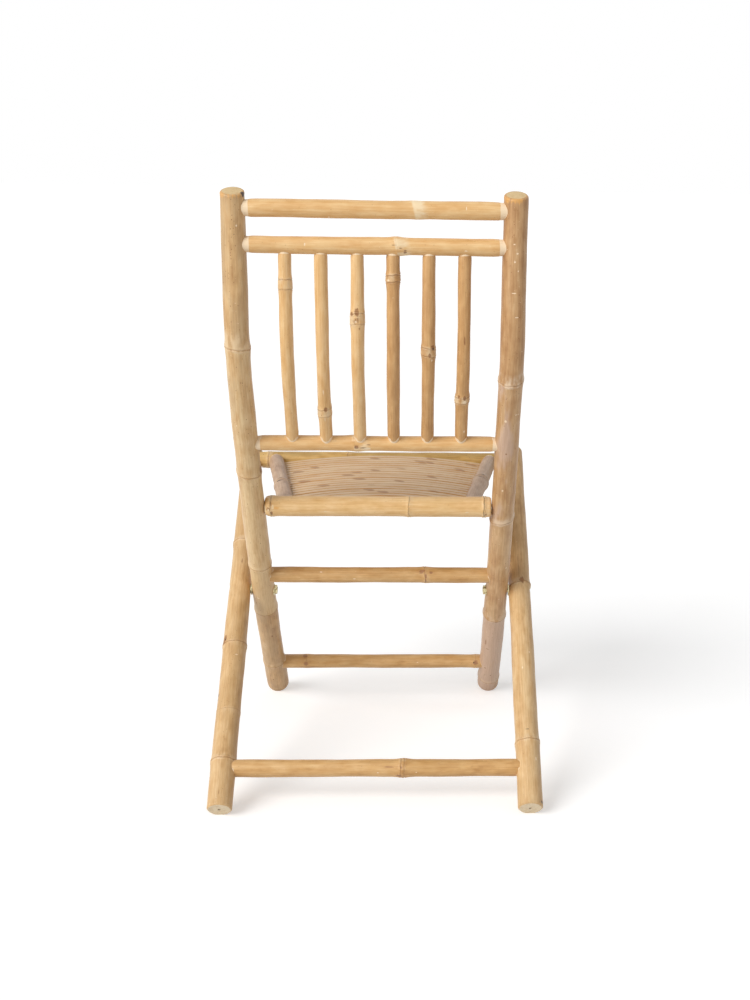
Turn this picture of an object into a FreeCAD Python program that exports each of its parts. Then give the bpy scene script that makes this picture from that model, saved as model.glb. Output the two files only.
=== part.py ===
import FreeCAD, Part
import math
import os
import Sketcher
from FreeCAD import Placement, Rotation, Vector

# Folding side chair of bamboo poles.
# The chair stands on the floor at Z = 0, its front faces -Y and the sitter's left is +X.
# Two bent posts carry the back, two straight legs cross outside them on a bolt each, and the
# seat frame hinges on the posts while its front pins lie in open slots in the leg tops.

# Driving dimensions in millimetres and degrees.
SIZES = {
    # posts, bent in the side view only; post_upper_length stands above the top rail's axis and
    # post_top_slant is how far the sawn top drops towards the rear
    "post_spacing": 371.6,
    "post_foot_dia": 36.8,
    "post_top_dia": 32.6,
    "post_foot_lean": 42.9,
    "post_waist_lean": 25.9,
    "post_top_lean": 1.3,
    "post_lower_length": 721.0,
    "post_bend_radius": 263.0,
    "post_upper_length": 21.4,
    "post_top_slant": 17.0,
    # legs, straight
    "leg_foot_dia": 36.4,
    "leg_top_dia": 33.0,
    "leg_rise": 37.6,
    "leg_beyond_seat": 27.0,
    "leg_top_round": 9.0,
    "foot_chamfer": 2.0,
    "pith_dia": 5.0,
    "pith_depth": 14.0,
    "foot_wear": 0.8,
    # crossing bolts, axis above the floor
    "pivot_height": 245.5,
    "side_gap": 2.1,
    "bolt_dia": 8.0,
    "bolt_head_dia": 15.0,
    "bolt_head_height": 4.0,
    "bolt_head_round": 2.8,
    "bolt_head_recess": 5.5,
    "head_clearance": 0.6,
    "bolt_end": 0.5,
    "washer_dia": 18.0,
    "washer_thickness": 1.6,
    "washer_clearance": 1.0,
    "spot_face_depth": 1.6,
    "nut_flats": 13.0,
    "nut_height": 4.0,
    # back rails, each axis above the one below it, the lower rail's above the seat hinge
    "lower_rail_dia": 22.0,
    "lower_rail_height": 108.7,
    "upper_rail_dia": 23.2,
    "upper_rail_height": 281.5,
    "top_rail_dia": 24.0,
    "top_rail_height": 47.2,
    "spindle_dia": 18.0,
    "spindle_spacing": 47.8,
    # stretchers, the middle one's axis above the crossing bolts, the front one's above the floor
    "mid_stretcher_dia": 24.6,
    "mid_stretcher_height": 31.7,
    "front_stretcher_dia": 23.4,
    "front_stretcher_height": 71.4,
    "rear_stretcher_dia": 25.4,
    "rear_stretcher_from_foot": 65.5,
    # seat frame, axes of its rails above the crossing bolts
    "seat_rear_height": 165.7,
    "seat_front_height": 164.0,
    "seat_rear_rail_dia": 30.4,
    "seat_front_rail_dia": 28.0,
    "side_rail_front_dia": 25.0,
    "side_rail_rear_dia": 23.2,
    # side rails' axes, inward of the legs' at the front and of the posts' at the rear
    "side_rail_front_inset": 40.3,
    "side_rail_rear_inset": 49.4,
    # slats, an even row of split canes between the seat rails
    "slat_gap": 1.3,
    "slat_end_gap": 4.07,
    "slat_thickness": 3.4,
    "slat_crown": 13.4,
    "slat_end_height": -0.4,
    "slat_tuck": 6.0,
    "groove_gap": 0.5,
    "batten_width": 26.0,
    "batten_thickness": 9.0,
    "batten_gap": 0.05,
    # pins
    "pin_dia": 8.0,
    "pin_in_rail": 22.0,
    "pin_in_post": 14.0,
    "pin_in_leg": 11.0,
    "slot_flare": 12.5,
    # joints between poles
    "tenon_dia": 11.0,
    "tenon_depth": 13.0,
    "spindle_tenon_dia": 8.0,
    "spindle_tenon_depth": 7.0,
    "glue_gap": 0.08,
    "running_gap": 0.05,
    "body_gap": 0.35,
    # spare depth under pins and tenons, and how far cutters and tenon roots run past a face
    "hole_spare": 1.0,
    "overcut": 6.0,
}
SPINDLE_COUNT = 6
SLAT_COUNT = 19
PATH_STEPS = 40
EDGE_TOLERANCE = 0.01
SIDES = (("left", 1), ("right", -1))
ALONG_X = Rotation(Vector(0, 1, 0), 90)

doc = FreeCAD.newDocument("FoldingChair")
sheet = doc.addObject("Spreadsheet::Sheet", "Sizes")
for row, (alias, number) in enumerate(SIZES.items(), start=1):
    sheet.set(f"A{row}", alias)
    sheet.set(f"B{row}", str(number))
    sheet.setAlias(f"B{row}", alias)
doc.recompute()

NODES = []


def size(alias):
    """Value of one driving dimension, read from the sheet."""
    return float(sheet.get(alias))


def half(alias):
    """Expression for half of one driving dimension."""
    return f"Sizes.{alias} / 2"


def node(obj, name):
    """Register an object as a piece of the chair under its own name."""
    obj.Label = name
    NODES.append((name, obj))
    return obj


def bind(obj, **expressions):
    """Bind properties of an object to expressions on the sheet."""
    for name, expression in expressions.items():
        obj.setExpression(name, expression)
    return obj


def outward(side):
    """Rotation that takes Z away from the chair's middle on one side."""
    return Rotation(Vector(0, 1, 0), 90 * side)


def cylinder(radius, length, base, rotation):
    """Round bar from base along the rotated Z axis, radius and length as expressions."""
    bar = doc.addObject("Part::Cylinder", "Bar")
    bind(bar, Radius=radius, Height=str(length))
    bar.Placement = Placement(base, rotation)
    return bar


def bar_along_x(radius, half_length, centre):
    """Round bar centred on a point and parallel to X."""
    base = Vector(centre.x - half_length, centre.y, centre.z)
    return cylinder(radius, 2 * half_length, base, ALONG_X)


def box(length, width, height, base, rotation):
    """Plain box with its sizes as expressions."""
    block = doc.addObject("Part::Box", "Block")
    bind(block, Length=str(length), Width=str(width), Height=str(height))
    block.Placement = Placement(base, rotation)
    return block


def fused(shapes):
    """Union of several objects."""
    union = doc.addObject("Part::MultiFuse", "Union")
    union.Shapes = shapes
    return union


def cut(base, tools):
    """Base object without the tools."""
    tool = tools[0] if len(tools) == 1 else fused(tools)
    result = doc.addObject("Part::Cut", "Shaped")
    result.Base = base
    result.Tool = tool
    return result


# Centre line of a post in the side view. The lean from the vertical shrinks evenly along the
# lower run, then through the bend, and stays at the top lean along the upper run.

def arc_step(lean, curl, run):
    """Backward and upward travel along a run whose lean drops by curl per millimetre."""
    if abs(curl) < 1e-9:
        return math.sin(lean) * run, math.cos(lean) * run
    end = lean - curl * run
    return (math.cos(end) - math.cos(lean)) / curl, (math.sin(lean) - math.sin(end)) / curl


FOOT_LEAN = math.radians(size("post_foot_lean"))
WAIST_LEAN = math.radians(size("post_waist_lean"))
TOP_LEAN = math.radians(size("post_top_lean"))
LOWER_RUN = size("post_lower_length")
BEND_RUN = size("post_bend_radius") * (WAIST_LEAN - TOP_LEAN)
LOWER_CURL = (FOOT_LEAN - WAIST_LEAN) / LOWER_RUN
FOOT_RISE = size("post_foot_dia") / 2 * math.sin(FOOT_LEAN) - size("foot_wear")


def post_centre(run):
    """Backward travel, height and lean of the post's centre line, run millimetres up."""
    lower = min(run, LOWER_RUN)
    back, up = arc_step(FOOT_LEAN, LOWER_CURL, lower)
    lean = FOOT_LEAN - LOWER_CURL * lower
    bend = min(max(run - LOWER_RUN, 0.0), BEND_RUN)
    if bend > 0:
        step = arc_step(lean, 1 / size("post_bend_radius"), bend)
        back += step[0]
        up += step[1]
        lean -= bend / size("post_bend_radius")
    upper = run - LOWER_RUN - BEND_RUN
    if upper > 0:
        back += math.sin(lean) * upper
        up += math.cos(lean) * upper
    return back, up + FOOT_RISE, lean


def post_run_at(height):
    """Distance along the post's centre line at which it reaches a height."""
    low = 0.0
    high = LOWER_RUN + BEND_RUN + height
    for _ in range(60):
        middle = (low + high) / 2
        if post_centre(middle)[1] < height:
            low = middle
        else:
            high = middle
    return (low + high) / 2


PIVOT_Z = size("pivot_height")
SEAT_REAR_Z = PIVOT_Z + size("seat_rear_height")
LOWER_RAIL_Z = SEAT_REAR_Z + size("lower_rail_height")
UPPER_RAIL_Z = LOWER_RAIL_Z + size("upper_rail_height")
TOP_RAIL_RUN = post_run_at(UPPER_RAIL_Z + size("top_rail_height"))
POST_RUN = TOP_RAIL_RUN + size("post_upper_length")
POST_BLANK = POST_RUN + size("post_top_dia") / 2


def taper(foot_dia, top_dia, share):
    """Radius of a tapering pole at a share of its length."""
    return (size(foot_dia) + (size(top_dia) - size(foot_dia)) * share) / 2


def post_radius(run):
    """Radius of a post, run millimetres up from its foot."""
    return taper("post_foot_dia", "post_top_dia", run / POST_RUN)


# Legs cross the posts at the pivot. All feet are cut square, so each rests on its worn rim.
RISE = math.radians(size("leg_rise"))
PIVOT_RUN = post_run_at(PIVOT_Z)
PIVOT_BACK = post_centre(PIVOT_RUN)[0]
LEG_FOOT_RISE = (
    size("leg_foot_dia") / 2 * math.cos(RISE)
    - size("foot_chamfer") * math.sin(RISE)
    - size("foot_wear")
)
LEG_BELOW = (PIVOT_Z - LEG_FOOT_RISE) / math.sin(RISE)
LEG_SEAT_RUN = LEG_BELOW + size("seat_front_height") / math.sin(RISE)
LEG_RUN = LEG_SEAT_RUN + size("leg_beyond_seat")


def leg_radius(run):
    """Radius of a leg, run millimetres up from its foot."""
    return taper("leg_foot_dia", "leg_top_dia", run / LEG_RUN)


# The origin lies midway between the rearmost rim of the leg feet and the front of the leg tops.
FOOT_FACE = size("leg_foot_dia") / 2 - size("foot_chamfer")
REAR_REACH = PIVOT_BACK + LEG_BELOW * math.cos(RISE) + FOOT_FACE * math.sin(RISE)
TOP_ROUND = size("leg_top_round")
FRONT_REACH = (
    PIVOT_BACK
    - (LEG_RUN - LEG_BELOW - TOP_ROUND) * math.cos(RISE)
    - (size("leg_top_dia") / 2 - TOP_ROUND) * math.sin(RISE)
    - TOP_ROUND
)
ORIGIN_BACK = (REAR_REACH + FRONT_REACH) / 2

POST_X = size("post_spacing") / 2
LEG_X = POST_X + post_radius(PIVOT_RUN) + size("side_gap") + leg_radius(LEG_BELOW)
BOLT_SEAT = LEG_X + leg_radius(LEG_BELOW) - size("bolt_head_recess")
SPOT_FACE = POST_X - post_radius(PIVOT_RUN) + size("spot_face_depth")
SIDE_FRONT_X = LEG_X - size("side_rail_front_inset")
SIDE_REAR_X = POST_X - size("side_rail_rear_inset")


def on_post(run, x=0.0):
    """Point on the post's centre line in the chair's frame."""
    back, up, _ = post_centre(run)
    return Vector(x, back - ORIGIN_BACK, up)


def post_turn(run):
    """Rotation that takes Z to the post's direction."""
    return Rotation(Vector(1, 0, 0), -math.degrees(post_centre(run)[2]))


PIVOT = on_post(PIVOT_RUN)
LEG_TURN = Rotation(Vector(1, 0, 0), 90 - size("leg_rise"))
LEG_WAY = LEG_TURN.multVec(Vector(0, 0, 1))
LEG_FOOT = PIVOT - LEG_WAY * LEG_BELOW


def on_leg(run, x=0.0):
    """Point on a leg's centre line in the chair's frame."""
    point = LEG_FOOT + LEG_WAY * run
    return Vector(x, point.y, point.z)


# Seat plane, from the rear rail's axis on the posts to the front rail's axis on the legs.
SEAT_REAR_RUN = post_run_at(SEAT_REAR_Z)
SEAT_REAR = on_post(SEAT_REAR_RUN)
SEAT_FRONT = on_leg(LEG_SEAT_RUN)
SEAT_DEPTH = (SEAT_FRONT - SEAT_REAR).Length
SEAT_TILT = math.degrees(math.atan2(SEAT_FRONT.z - SEAT_REAR.z, SEAT_REAR.y - SEAT_FRONT.y))
SEAT_TURN = Rotation(Vector(1, 0, 0), -SEAT_TILT)


def on_seat(x, forward, above):
    """Point in the seat's own frame, forward of the rear rail's axis and above the plane."""
    return SEAT_REAR + SEAT_TURN.multVec(Vector(x, -forward, above))


def floor_block(foot):
    """Block under the floor that flattens the worn rim of a foot."""
    reach = size("post_foot_dia")
    corner = Vector(foot.x - reach, foot.y - reach, -reach)
    return box(2 * reach, 2 * reach, reach, corner, Rotation())


def top_block(top):
    """Block above a post's slanted top."""
    reach = size("post_top_dia")
    turn = Rotation(Vector(1, 0, 0), -size("post_top_slant"))
    corner = top + turn.multVec(Vector(-reach, -reach, 0))
    return box(2 * reach, 2 * reach, reach, corner, turn)


def bent_pole(start, end, radius_at, x):
    """Pole that follows the posts' centre line, as a loft through circles."""
    steps = max(4, round(PATH_STEPS * (end - start) / POST_RUN))
    sections = []
    for step in range(steps + 1):
        run = start + (end - start) * step / steps
        circle = doc.addObject("Part::Circle", "Ring")
        bind(circle, Radius=radius_at(run))
        circle.Placement = Placement(on_post(run, x), post_turn(run))
        sections.append(circle)
    loft = doc.addObject("Part::Loft", "Pole")
    loft.Sections = sections
    loft.Solid = True
    loft.Ruled = False
    return loft


def post_radius_expression(run):
    """Expression for the radius of a post at a run from its foot."""
    share = run / POST_RUN
    return f"(Sizes.post_foot_dia * {1 - share} + Sizes.post_top_dia * {share}) / 2"


def cope_on_post(run, side):
    """Tool that hollows a rail's end to sit on a post."""
    reach = 3 * post_radius(run)
    turn = post_turn(run)
    base = on_post(run, side * POST_X) - turn.multVec(Vector(0, 0, reach))
    return cylinder(f"{post_radius(run)} + Sizes.glue_gap", 2 * reach, base, turn)


def side_hole(point, side, face, depth, dia, gap):
    """Blind hole into the inner face of a post or leg, opened a little past the face."""
    inner = Vector(side * (face - size("overcut")), point.y, point.z)
    return cylinder(f"{half(dia)} + Sizes.{gap}", depth + size("overcut"), inner, outward(side))


def coped_rail(name, dia, run):
    """Rail between the posts, hollowed at both ends, with a tenon into each post."""
    centre = on_post(run)
    blank = bar_along_x(half(dia), POST_X, centre)
    shaped = cut(blank, [cope_on_post(run, 1), cope_on_post(run, -1)])
    reach = POST_X - post_radius(run) + size("tenon_depth")
    tenon = bar_along_x(half("tenon_dia"), reach, centre)
    return node(fused([shaped, tenon]), name)


UPPER_RAIL_RUN = post_run_at(UPPER_RAIL_Z)
LOWER_RAIL_RUN = post_run_at(LOWER_RAIL_Z)
MID_STRETCHER_RUN = post_run_at(PIVOT_Z + size("mid_stretcher_height"))
FRONT_STRETCHER_RUN = post_run_at(size("front_stretcher_height"))
PLAIN_RAILS = (
    ("top_rail", "top_rail_dia", TOP_RAIL_RUN),
    ("mid_stretcher", "mid_stretcher_dia", MID_STRETCHER_RUN),
    ("front_stretcher", "front_stretcher_dia", FRONT_STRETCHER_RUN),
)
HOLED_RAILS = (
    ("upper_back_rail", "upper_rail_dia", UPPER_RAIL_RUN, -1),
    ("lower_back_rail", "lower_rail_dia", LOWER_RAIL_RUN, 1),
)


def make_post(name, side):
    """Bent post with its tenon holes, hinge hole, bolt hole and pith hole."""
    x = side * POST_X
    overcut = size("overcut")
    pole = bent_pole(0, POST_BLANK, post_radius_expression, x)
    tools = []
    for rail in PLAIN_RAILS + HOLED_RAILS:
        run = rail[2]
        tools.append(side_hole(on_post(run), side, POST_X - post_radius(run),
                               size("tenon_depth") + size("hole_spare"), "tenon_dia", "glue_gap"))
    tools.append(side_hole(SEAT_REAR, side, POST_X - post_radius(SEAT_REAR_RUN),
                           size("pin_in_post") + size("hole_spare"), "pin_dia", "running_gap"))
    tools.append(bar_along_x(half("bolt_dia") + " + Sizes.running_gap", size("post_foot_dia"),
                             Vector(x, PIVOT.y, PIVOT.z)))
    tools.append(cylinder(half("washer_dia") + " + Sizes.washer_clearance", overcut,
                          Vector(side * (SPOT_FACE - overcut), PIVOT.y, PIVOT.z), outward(side)))
    foot_turn = post_turn(0)
    tools.append(cylinder(half("pith_dia"), size("pith_depth") + overcut,
                          on_post(0, x) - foot_turn.multVec(Vector(0, 0, overcut)), foot_turn))
    tools += [floor_block(on_post(0, x)), top_block(on_post(POST_RUN, x))]
    return node(cut(pole, tools), name)


def make_spindle(name, x):
    """Back spindle, bent like the posts, with a tenon into each back rail."""
    pole = bent_pole(LOWER_RAIL_RUN, UPPER_RAIL_RUN, lambda run: half("spindle_dia"), x)
    rails = []
    tenons = []
    reach = size("spindle_tenon_depth")
    for _, dia, run, up in HOLED_RAILS:
        centre = on_post(run, x)
        rails.append(bar_along_x(f"{half(dia)} + Sizes.glue_gap", size("spindle_dia"), centre))
        way = post_turn(run).multVec(Vector(0, 0, up))
        turn = Rotation(Vector(0, 0, 1), way)
        start = size(dia) / 2 - reach
        tenons.append(cylinder(half("spindle_tenon_dia"), reach + size("overcut"),
                               centre + way * start, turn))
    return node(fused([cut(pole, rails)] + tenons), name)


def spindle_holes(dia, run, up):
    """Row of blind holes in a back rail for the spindles' tenons."""
    way = post_turn(run).multVec(Vector(0, 0, up))
    turn = Rotation(Vector(0, 0, 1), way)
    depth = size("spindle_tenon_depth") + size("hole_spare")
    start = size(dia) / 2 - depth
    holes = []
    for x in SPINDLE_PLACES:
        holes.append(cylinder(half("spindle_tenon_dia") + " + Sizes.glue_gap",
                              depth + size("overcut"), on_post(run, x) + way * start, turn))
    return holes


SPINDLE_PLACES = [
    (index - (SPINDLE_COUNT - 1) / 2) * size("spindle_spacing") for index in range(SPINDLE_COUNT)
]


def make_holed_rail(name, dia, run, up):
    """Back rail with a row of spindle holes."""
    centre = on_post(run)
    blank = bar_along_x(half(dia), POST_X, centre)
    tools = [cope_on_post(run, 1), cope_on_post(run, -1)] + spindle_holes(dia, run, up)
    shaped = cut(blank, tools)
    root = POST_X - post_radius(run) - size("overcut")
    tenons = []
    for side in (1, -1):
        start = Vector(side * root, centre.y, centre.z)
        tenons.append(cylinder(half("tenon_dia"), size("tenon_depth") + size("overcut"), start,
                               outward(side)))
    return node(fused([shaped] + tenons), name)


def make_back():
    """Posts, back rails, spindles and the stretchers between the posts."""
    for label, side in SIDES:
        make_post(f"post_{label}", side)
    for name, dia, run in PLAIN_RAILS:
        coped_rail(name, dia, run)
    for name, dia, run, up in HOLED_RAILS:
        make_holed_rail(name, dia, run, up)
    for index, x in enumerate(SPINDLE_PLACES, start=1):
        make_spindle(f"spindle_{index}", x)


def edges_at(shape, point):
    """Numbers of a shape's circular edges whose centre lies at a point."""
    found = []
    for number, edge in enumerate(shape.Edges, start=1):
        if not isinstance(edge.Curve, Part.Circle):
            continue
        if edge.Curve.Center.distanceToPoint(point) < EDGE_TOLERANCE:
            found.append(number)
    return found


def make_leg(name, side):
    """Straight tapering leg with a rounded top, a bolt hole and an open slot for the seat pin."""
    x = side * LEG_X
    blank = doc.addObject("Part::Cone", "Blank")
    bind(blank, Radius1=half("leg_foot_dia"), Radius2=half("leg_top_dia"), Height=str(LEG_RUN))
    blank.Placement = Placement(on_leg(0, x), LEG_TURN)
    doc.recompute()
    rounded = doc.addObject("Part::Fillet", "Rounded")
    rounded.Base = blank
    rounded.Edges = [(n, TOP_ROUND, TOP_ROUND) for n in edges_at(blank.Shape, on_leg(LEG_RUN, x))]
    doc.recompute()
    bevelled = doc.addObject("Part::Chamfer", "Bevelled")
    bevelled.Base = rounded
    bevel = size("foot_chamfer")
    bevelled.Edges = [(n, bevel, bevel) for n in edges_at(rounded.Shape, on_leg(0, x))]
    overcut = size("overcut")
    run = size("rear_stretcher_from_foot")
    tools = [
        bar_along_x(half("bolt_dia") + " + Sizes.running_gap", size("leg_foot_dia"),
                    Vector(x, PIVOT.y, PIVOT.z)),
        cylinder(half("bolt_head_dia") + " + Sizes.head_clearance",
                 size("bolt_head_recess") + overcut,
                 Vector(side * BOLT_SEAT, PIVOT.y, PIVOT.z), outward(side)),
        side_hole(on_leg(run), side, LEG_X - leg_radius(run),
                  size("tenon_depth") + size("hole_spare"), "tenon_dia", "glue_gap"),
        cylinder(half("pith_dia"), size("pith_depth") + overcut, on_leg(-overcut, x), LEG_TURN),
        floor_block(on_leg(0, x)),
    ]
    tools += slot_tools(side)
    return node(cut(bevelled, tools), name)


def slot_tools(side):
    """Open slot from the seat pin to the leg's top, widened towards the upper side."""
    deep = size("pin_in_leg") + size("body_gap")
    face = LEG_X - leg_radius(LEG_SEAT_RUN)
    inner = face - size("overcut")
    width = size("pin_dia") + 2 * size("body_gap")
    length = size("leg_beyond_seat") + size("overcut")
    low = inner if side > 0 else -(face + deep)
    centre = on_leg(LEG_SEAT_RUN)
    tools = [side_hole(centre, side, face, deep, "pin_dia", "body_gap")]
    for turn_more in (0, size("slot_flare")):
        turn = Rotation(Vector(1, 0, 0), 90 - size("leg_rise") - turn_more)
        corner = Vector(low, centre.y, centre.z) + turn.multVec(Vector(0, -width / 2, 0))
        tools.append(box(face + deep - inner, width, length, corner, turn))
    return tools


def make_legs():
    """Both legs and the stretcher between their feet."""
    for label, side in SIDES:
        make_leg(f"leg_{label}", side)
    run = size("rear_stretcher_from_foot")
    centre = on_leg(run)
    blank = bar_along_x(half("rear_stretcher_dia"), LEG_X, centre)
    copes = []
    for side in (1, -1):
        reach = 2 * size("leg_foot_dia")
        base = on_leg(run - reach, side * LEG_X)
        copes.append(cylinder(f"{leg_radius(run)} + Sizes.glue_gap", 2 * reach, base, LEG_TURN))
    reach = LEG_X - leg_radius(run) + size("tenon_depth")
    tenon = bar_along_x(half("tenon_dia"), reach, centre)
    node(fused([cut(blank, copes), tenon]), "rear_stretcher")


def make_fasteners():
    """Crossing bolts with their nuts and washers, and the spacers between post and leg."""
    nut_face = SPOT_FACE - size("washer_thickness")
    nut_end = nut_face - size("nut_height")
    tip = nut_end - size("bolt_end")
    under_head = BOLT_SEAT + size("body_gap")
    head_top = under_head + size("bolt_head_height")
    crown = size("bolt_head_round")
    spacer_thickness = size("side_gap") - 2 * size("body_gap")
    spacer_face = POST_X + post_radius(PIVOT_RUN) + size("body_gap")
    overcut = size("overcut")
    for label, side in SIDES:
        turn = outward(side)

        def place(distance):
            return Vector(side * distance, PIVOT.y, PIVOT.z)

        def bolt_hole(face, thickness):
            return cylinder(half("bolt_dia") + " + Sizes.running_gap", thickness + 2 * overcut,
                            place(face - overcut), turn)

        shank = cylinder(half("bolt_dia"), (under_head + head_top) / 2 - tip, place(tip), turn)
        head = cylinder(half("bolt_head_dia"), "Sizes.bolt_head_height", place(under_head), turn)
        doc.recompute()
        domed = doc.addObject("Part::Fillet", "Domed")
        domed.Base = head
        domed.Edges = [(n, crown, crown) for n in edges_at(head.Shape, place(head_top))]
        node(fused([shank, domed]), f"bolt_{label}")

        disc = cylinder(half("washer_dia"), "Sizes.washer_thickness", place(nut_face), turn)
        node(cut(disc, [bolt_hole(nut_face, size("washer_thickness"))]), f"washer_{label}")

        prism = doc.addObject("Part::Prism", "Hexagon")
        prism.Polygon = 6
        bind(prism, Circumradius=f"Sizes.nut_flats / 2 / {math.cos(math.pi / 6)}",
             Height="Sizes.nut_height")
        prism.Placement = Placement(place(nut_end), turn)
        node(cut(prism, [bolt_hole(nut_end, size("nut_height"))]), f"nut_{label}")

        ring = cylinder(half("washer_dia"), spacer_thickness, place(spacer_face), turn)
        node(cut(ring, [bolt_hole(spacer_face, spacer_thickness)]), f"spacer_{label}")


def side_rail_line(side):
    """Start, direction and rotation of a side rail's axis."""
    start = on_seat(side * SIDE_REAR_X, 0, 0)
    end = on_seat(side * SIDE_FRONT_X, SEAT_DEPTH, 0)
    way = (end - start).normalize()
    return start, way, Rotation(Vector(0, 0, 1), way)


def side_rail_length():
    """Distance between the seat rails' axes along a side rail."""
    return math.hypot(SEAT_DEPTH, SIDE_FRONT_X - SIDE_REAR_X)


def rail_socket(side, dia, at_front):
    """Blind hole in a seat rail for a side rail's tenon."""
    start, way, turn = side_rail_line(side)
    depth = size("spindle_tenon_depth") + size("hole_spare")
    if at_front:
        base = start + way * (side_rail_length() - size(dia) / 2 - size("overcut"))
    else:
        base = start + way * (size(dia) / 2 - depth)
    radius = half("spindle_tenon_dia") + " + Sizes.glue_gap"
    return cylinder(radius, depth + size("overcut"), base, turn)


def seat_rail_tool(forward, dia):
    """Bar of a seat rail's own size plus a gap, for hollowing what meets it."""
    return bar_along_x(half(dia) + " + Sizes.glue_gap", LEG_X, on_seat(0, forward, 0))


def front_rail_end(side, face):
    """Tools that hollow the front rail's end onto the leg and clear the leg's upper side."""
    reach = 2 * size("leg_top_dia")
    hollow = cylinder(f"{leg_radius(LEG_SEAT_RUN)} + Sizes.body_gap", 2 * reach,
                      on_leg(LEG_SEAT_RUN - reach, side * LEG_X), LEG_TURN)
    low = face if side > 0 else -face - reach
    corner = Vector(low, SEAT_FRONT.y, SEAT_FRONT.z)
    corner += LEG_TURN.multVec(Vector(0, -reach, -reach))
    return [hollow, box(reach, reach, 2 * reach, corner, LEG_TURN)]


def make_seat_rails():
    """Rear rail on its hinge pins and front rail with its slot pins."""
    in_rail = size("pin_in_rail")
    gap = size("body_gap")
    rear_face = POST_X - post_radius(SEAT_REAR_RUN) - gap
    front_face = LEG_X - leg_radius(LEG_SEAT_RUN) - gap
    rear_length = in_rail + gap + size("pin_in_post")
    front_length = in_rail + gap + size("pin_in_leg")
    rear = bar_along_x(half("seat_rear_rail_dia"), rear_face, SEAT_REAR)
    front = bar_along_x(half("seat_front_rail_dia"), LEG_X, SEAT_FRONT)
    rear_tools = []
    front_tools = []
    for label, side in SIDES:
        turn = outward(side)
        rear_end = SEAT_REAR + Vector(side * (rear_face - in_rail), 0, 0)
        front_end = SEAT_FRONT + Vector(side * (front_face - in_rail), 0, 0)
        rear_tools.append(cylinder(half("pin_dia"), in_rail + size("overcut"), rear_end, turn))
        rear_tools.append(rail_socket(side, "seat_rear_rail_dia", False))
        front_tools.append(cylinder(half("pin_dia"), front_length + size("hole_spare"), front_end,
                                    turn))
        front_tools.append(rail_socket(side, "seat_front_rail_dia", True))
        front_tools += front_rail_end(side, front_face)
        node(cylinder(half("pin_dia"), rear_length, rear_end, turn), f"hinge_pin_{label}")
        node(cylinder(half("pin_dia"), front_length, front_end, turn), f"slot_pin_{label}")
    node(cut(rear, rear_tools), "seat_rear_rail")
    node(cut(front, front_tools), "seat_front_rail")


def make_side_rails():
    """Side rails of the seat, hollowed onto both seat rails and grooved for the slats."""
    length = side_rail_length()
    depth = size("spindle_tenon_depth")
    root = depth + size("overcut")
    slope = 2 * size("slat_crown") / (SIDE_REAR_X - size("side_rail_rear_dia") / 2)
    in_groove = size("slat_tuck") + 2 * size("groove_gap")
    groove_low = size("slat_end_height") - size("slat_thickness") - size("groove_gap")
    groove_high = size("slat_end_height") + slope * in_groove + size("groove_gap")
    for label, side in SIDES:
        start, way, turn = side_rail_line(side)
        blank = doc.addObject("Part::Cone", "SideBlank")
        bind(blank, Radius1=half("side_rail_rear_dia"), Radius2=half("side_rail_front_dia"),
             Height=str(length))
        blank.Placement = Placement(start, turn)
        across = SEAT_TURN.multVec(Vector(side, 0, 0))
        inward = (across - way * across.dot(way)).normalize() * -1
        up = SEAT_TURN.multVec(Vector(0, 0, 1))
        frame = Rotation(inward, up.cross(inward), up, "ZXY")
        corner = start + inward * (size("side_rail_rear_dia") / 2 - in_groove) + up * groove_low
        if frame.multVec(Vector(0, 1, 0)).dot(way) < 0:
            corner += way * length
        groove = box("Sizes.side_rail_front_dia", length, groove_high - groove_low, corner, frame)
        tools = [
            seat_rail_tool(0, "seat_rear_rail_dia"),
            seat_rail_tool(SEAT_DEPTH, "seat_front_rail_dia"),
            groove,
        ]
        rear_root = start + way * (size("seat_rear_rail_dia") / 2 - depth)
        front_root = start + way * (length - size("seat_front_rail_dia") / 2 - size("overcut"))
        tenons = [
            cylinder(half("spindle_tenon_dia"), root, rear_root, turn),
            cylinder(half("spindle_tenon_dia"), root, front_root, turn),
        ]
        node(fused([cut(blank, tools)] + tenons), f"seat_side_rail_{label}")


def slat_radius(half_span):
    """Radius of a slat's crowned upper face."""
    crown = size("slat_crown")
    return (half_span ** 2 + crown ** 2) / (2 * crown)


def slat_underside(half_span, x):
    """Height of a slat's lower face above the seat plane, x off the middle."""
    radius = slat_radius(half_span)
    middle = size("slat_end_height") + size("slat_crown") - radius
    return middle + math.sqrt((radius - size("slat_thickness")) ** 2 - x ** 2)


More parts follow.
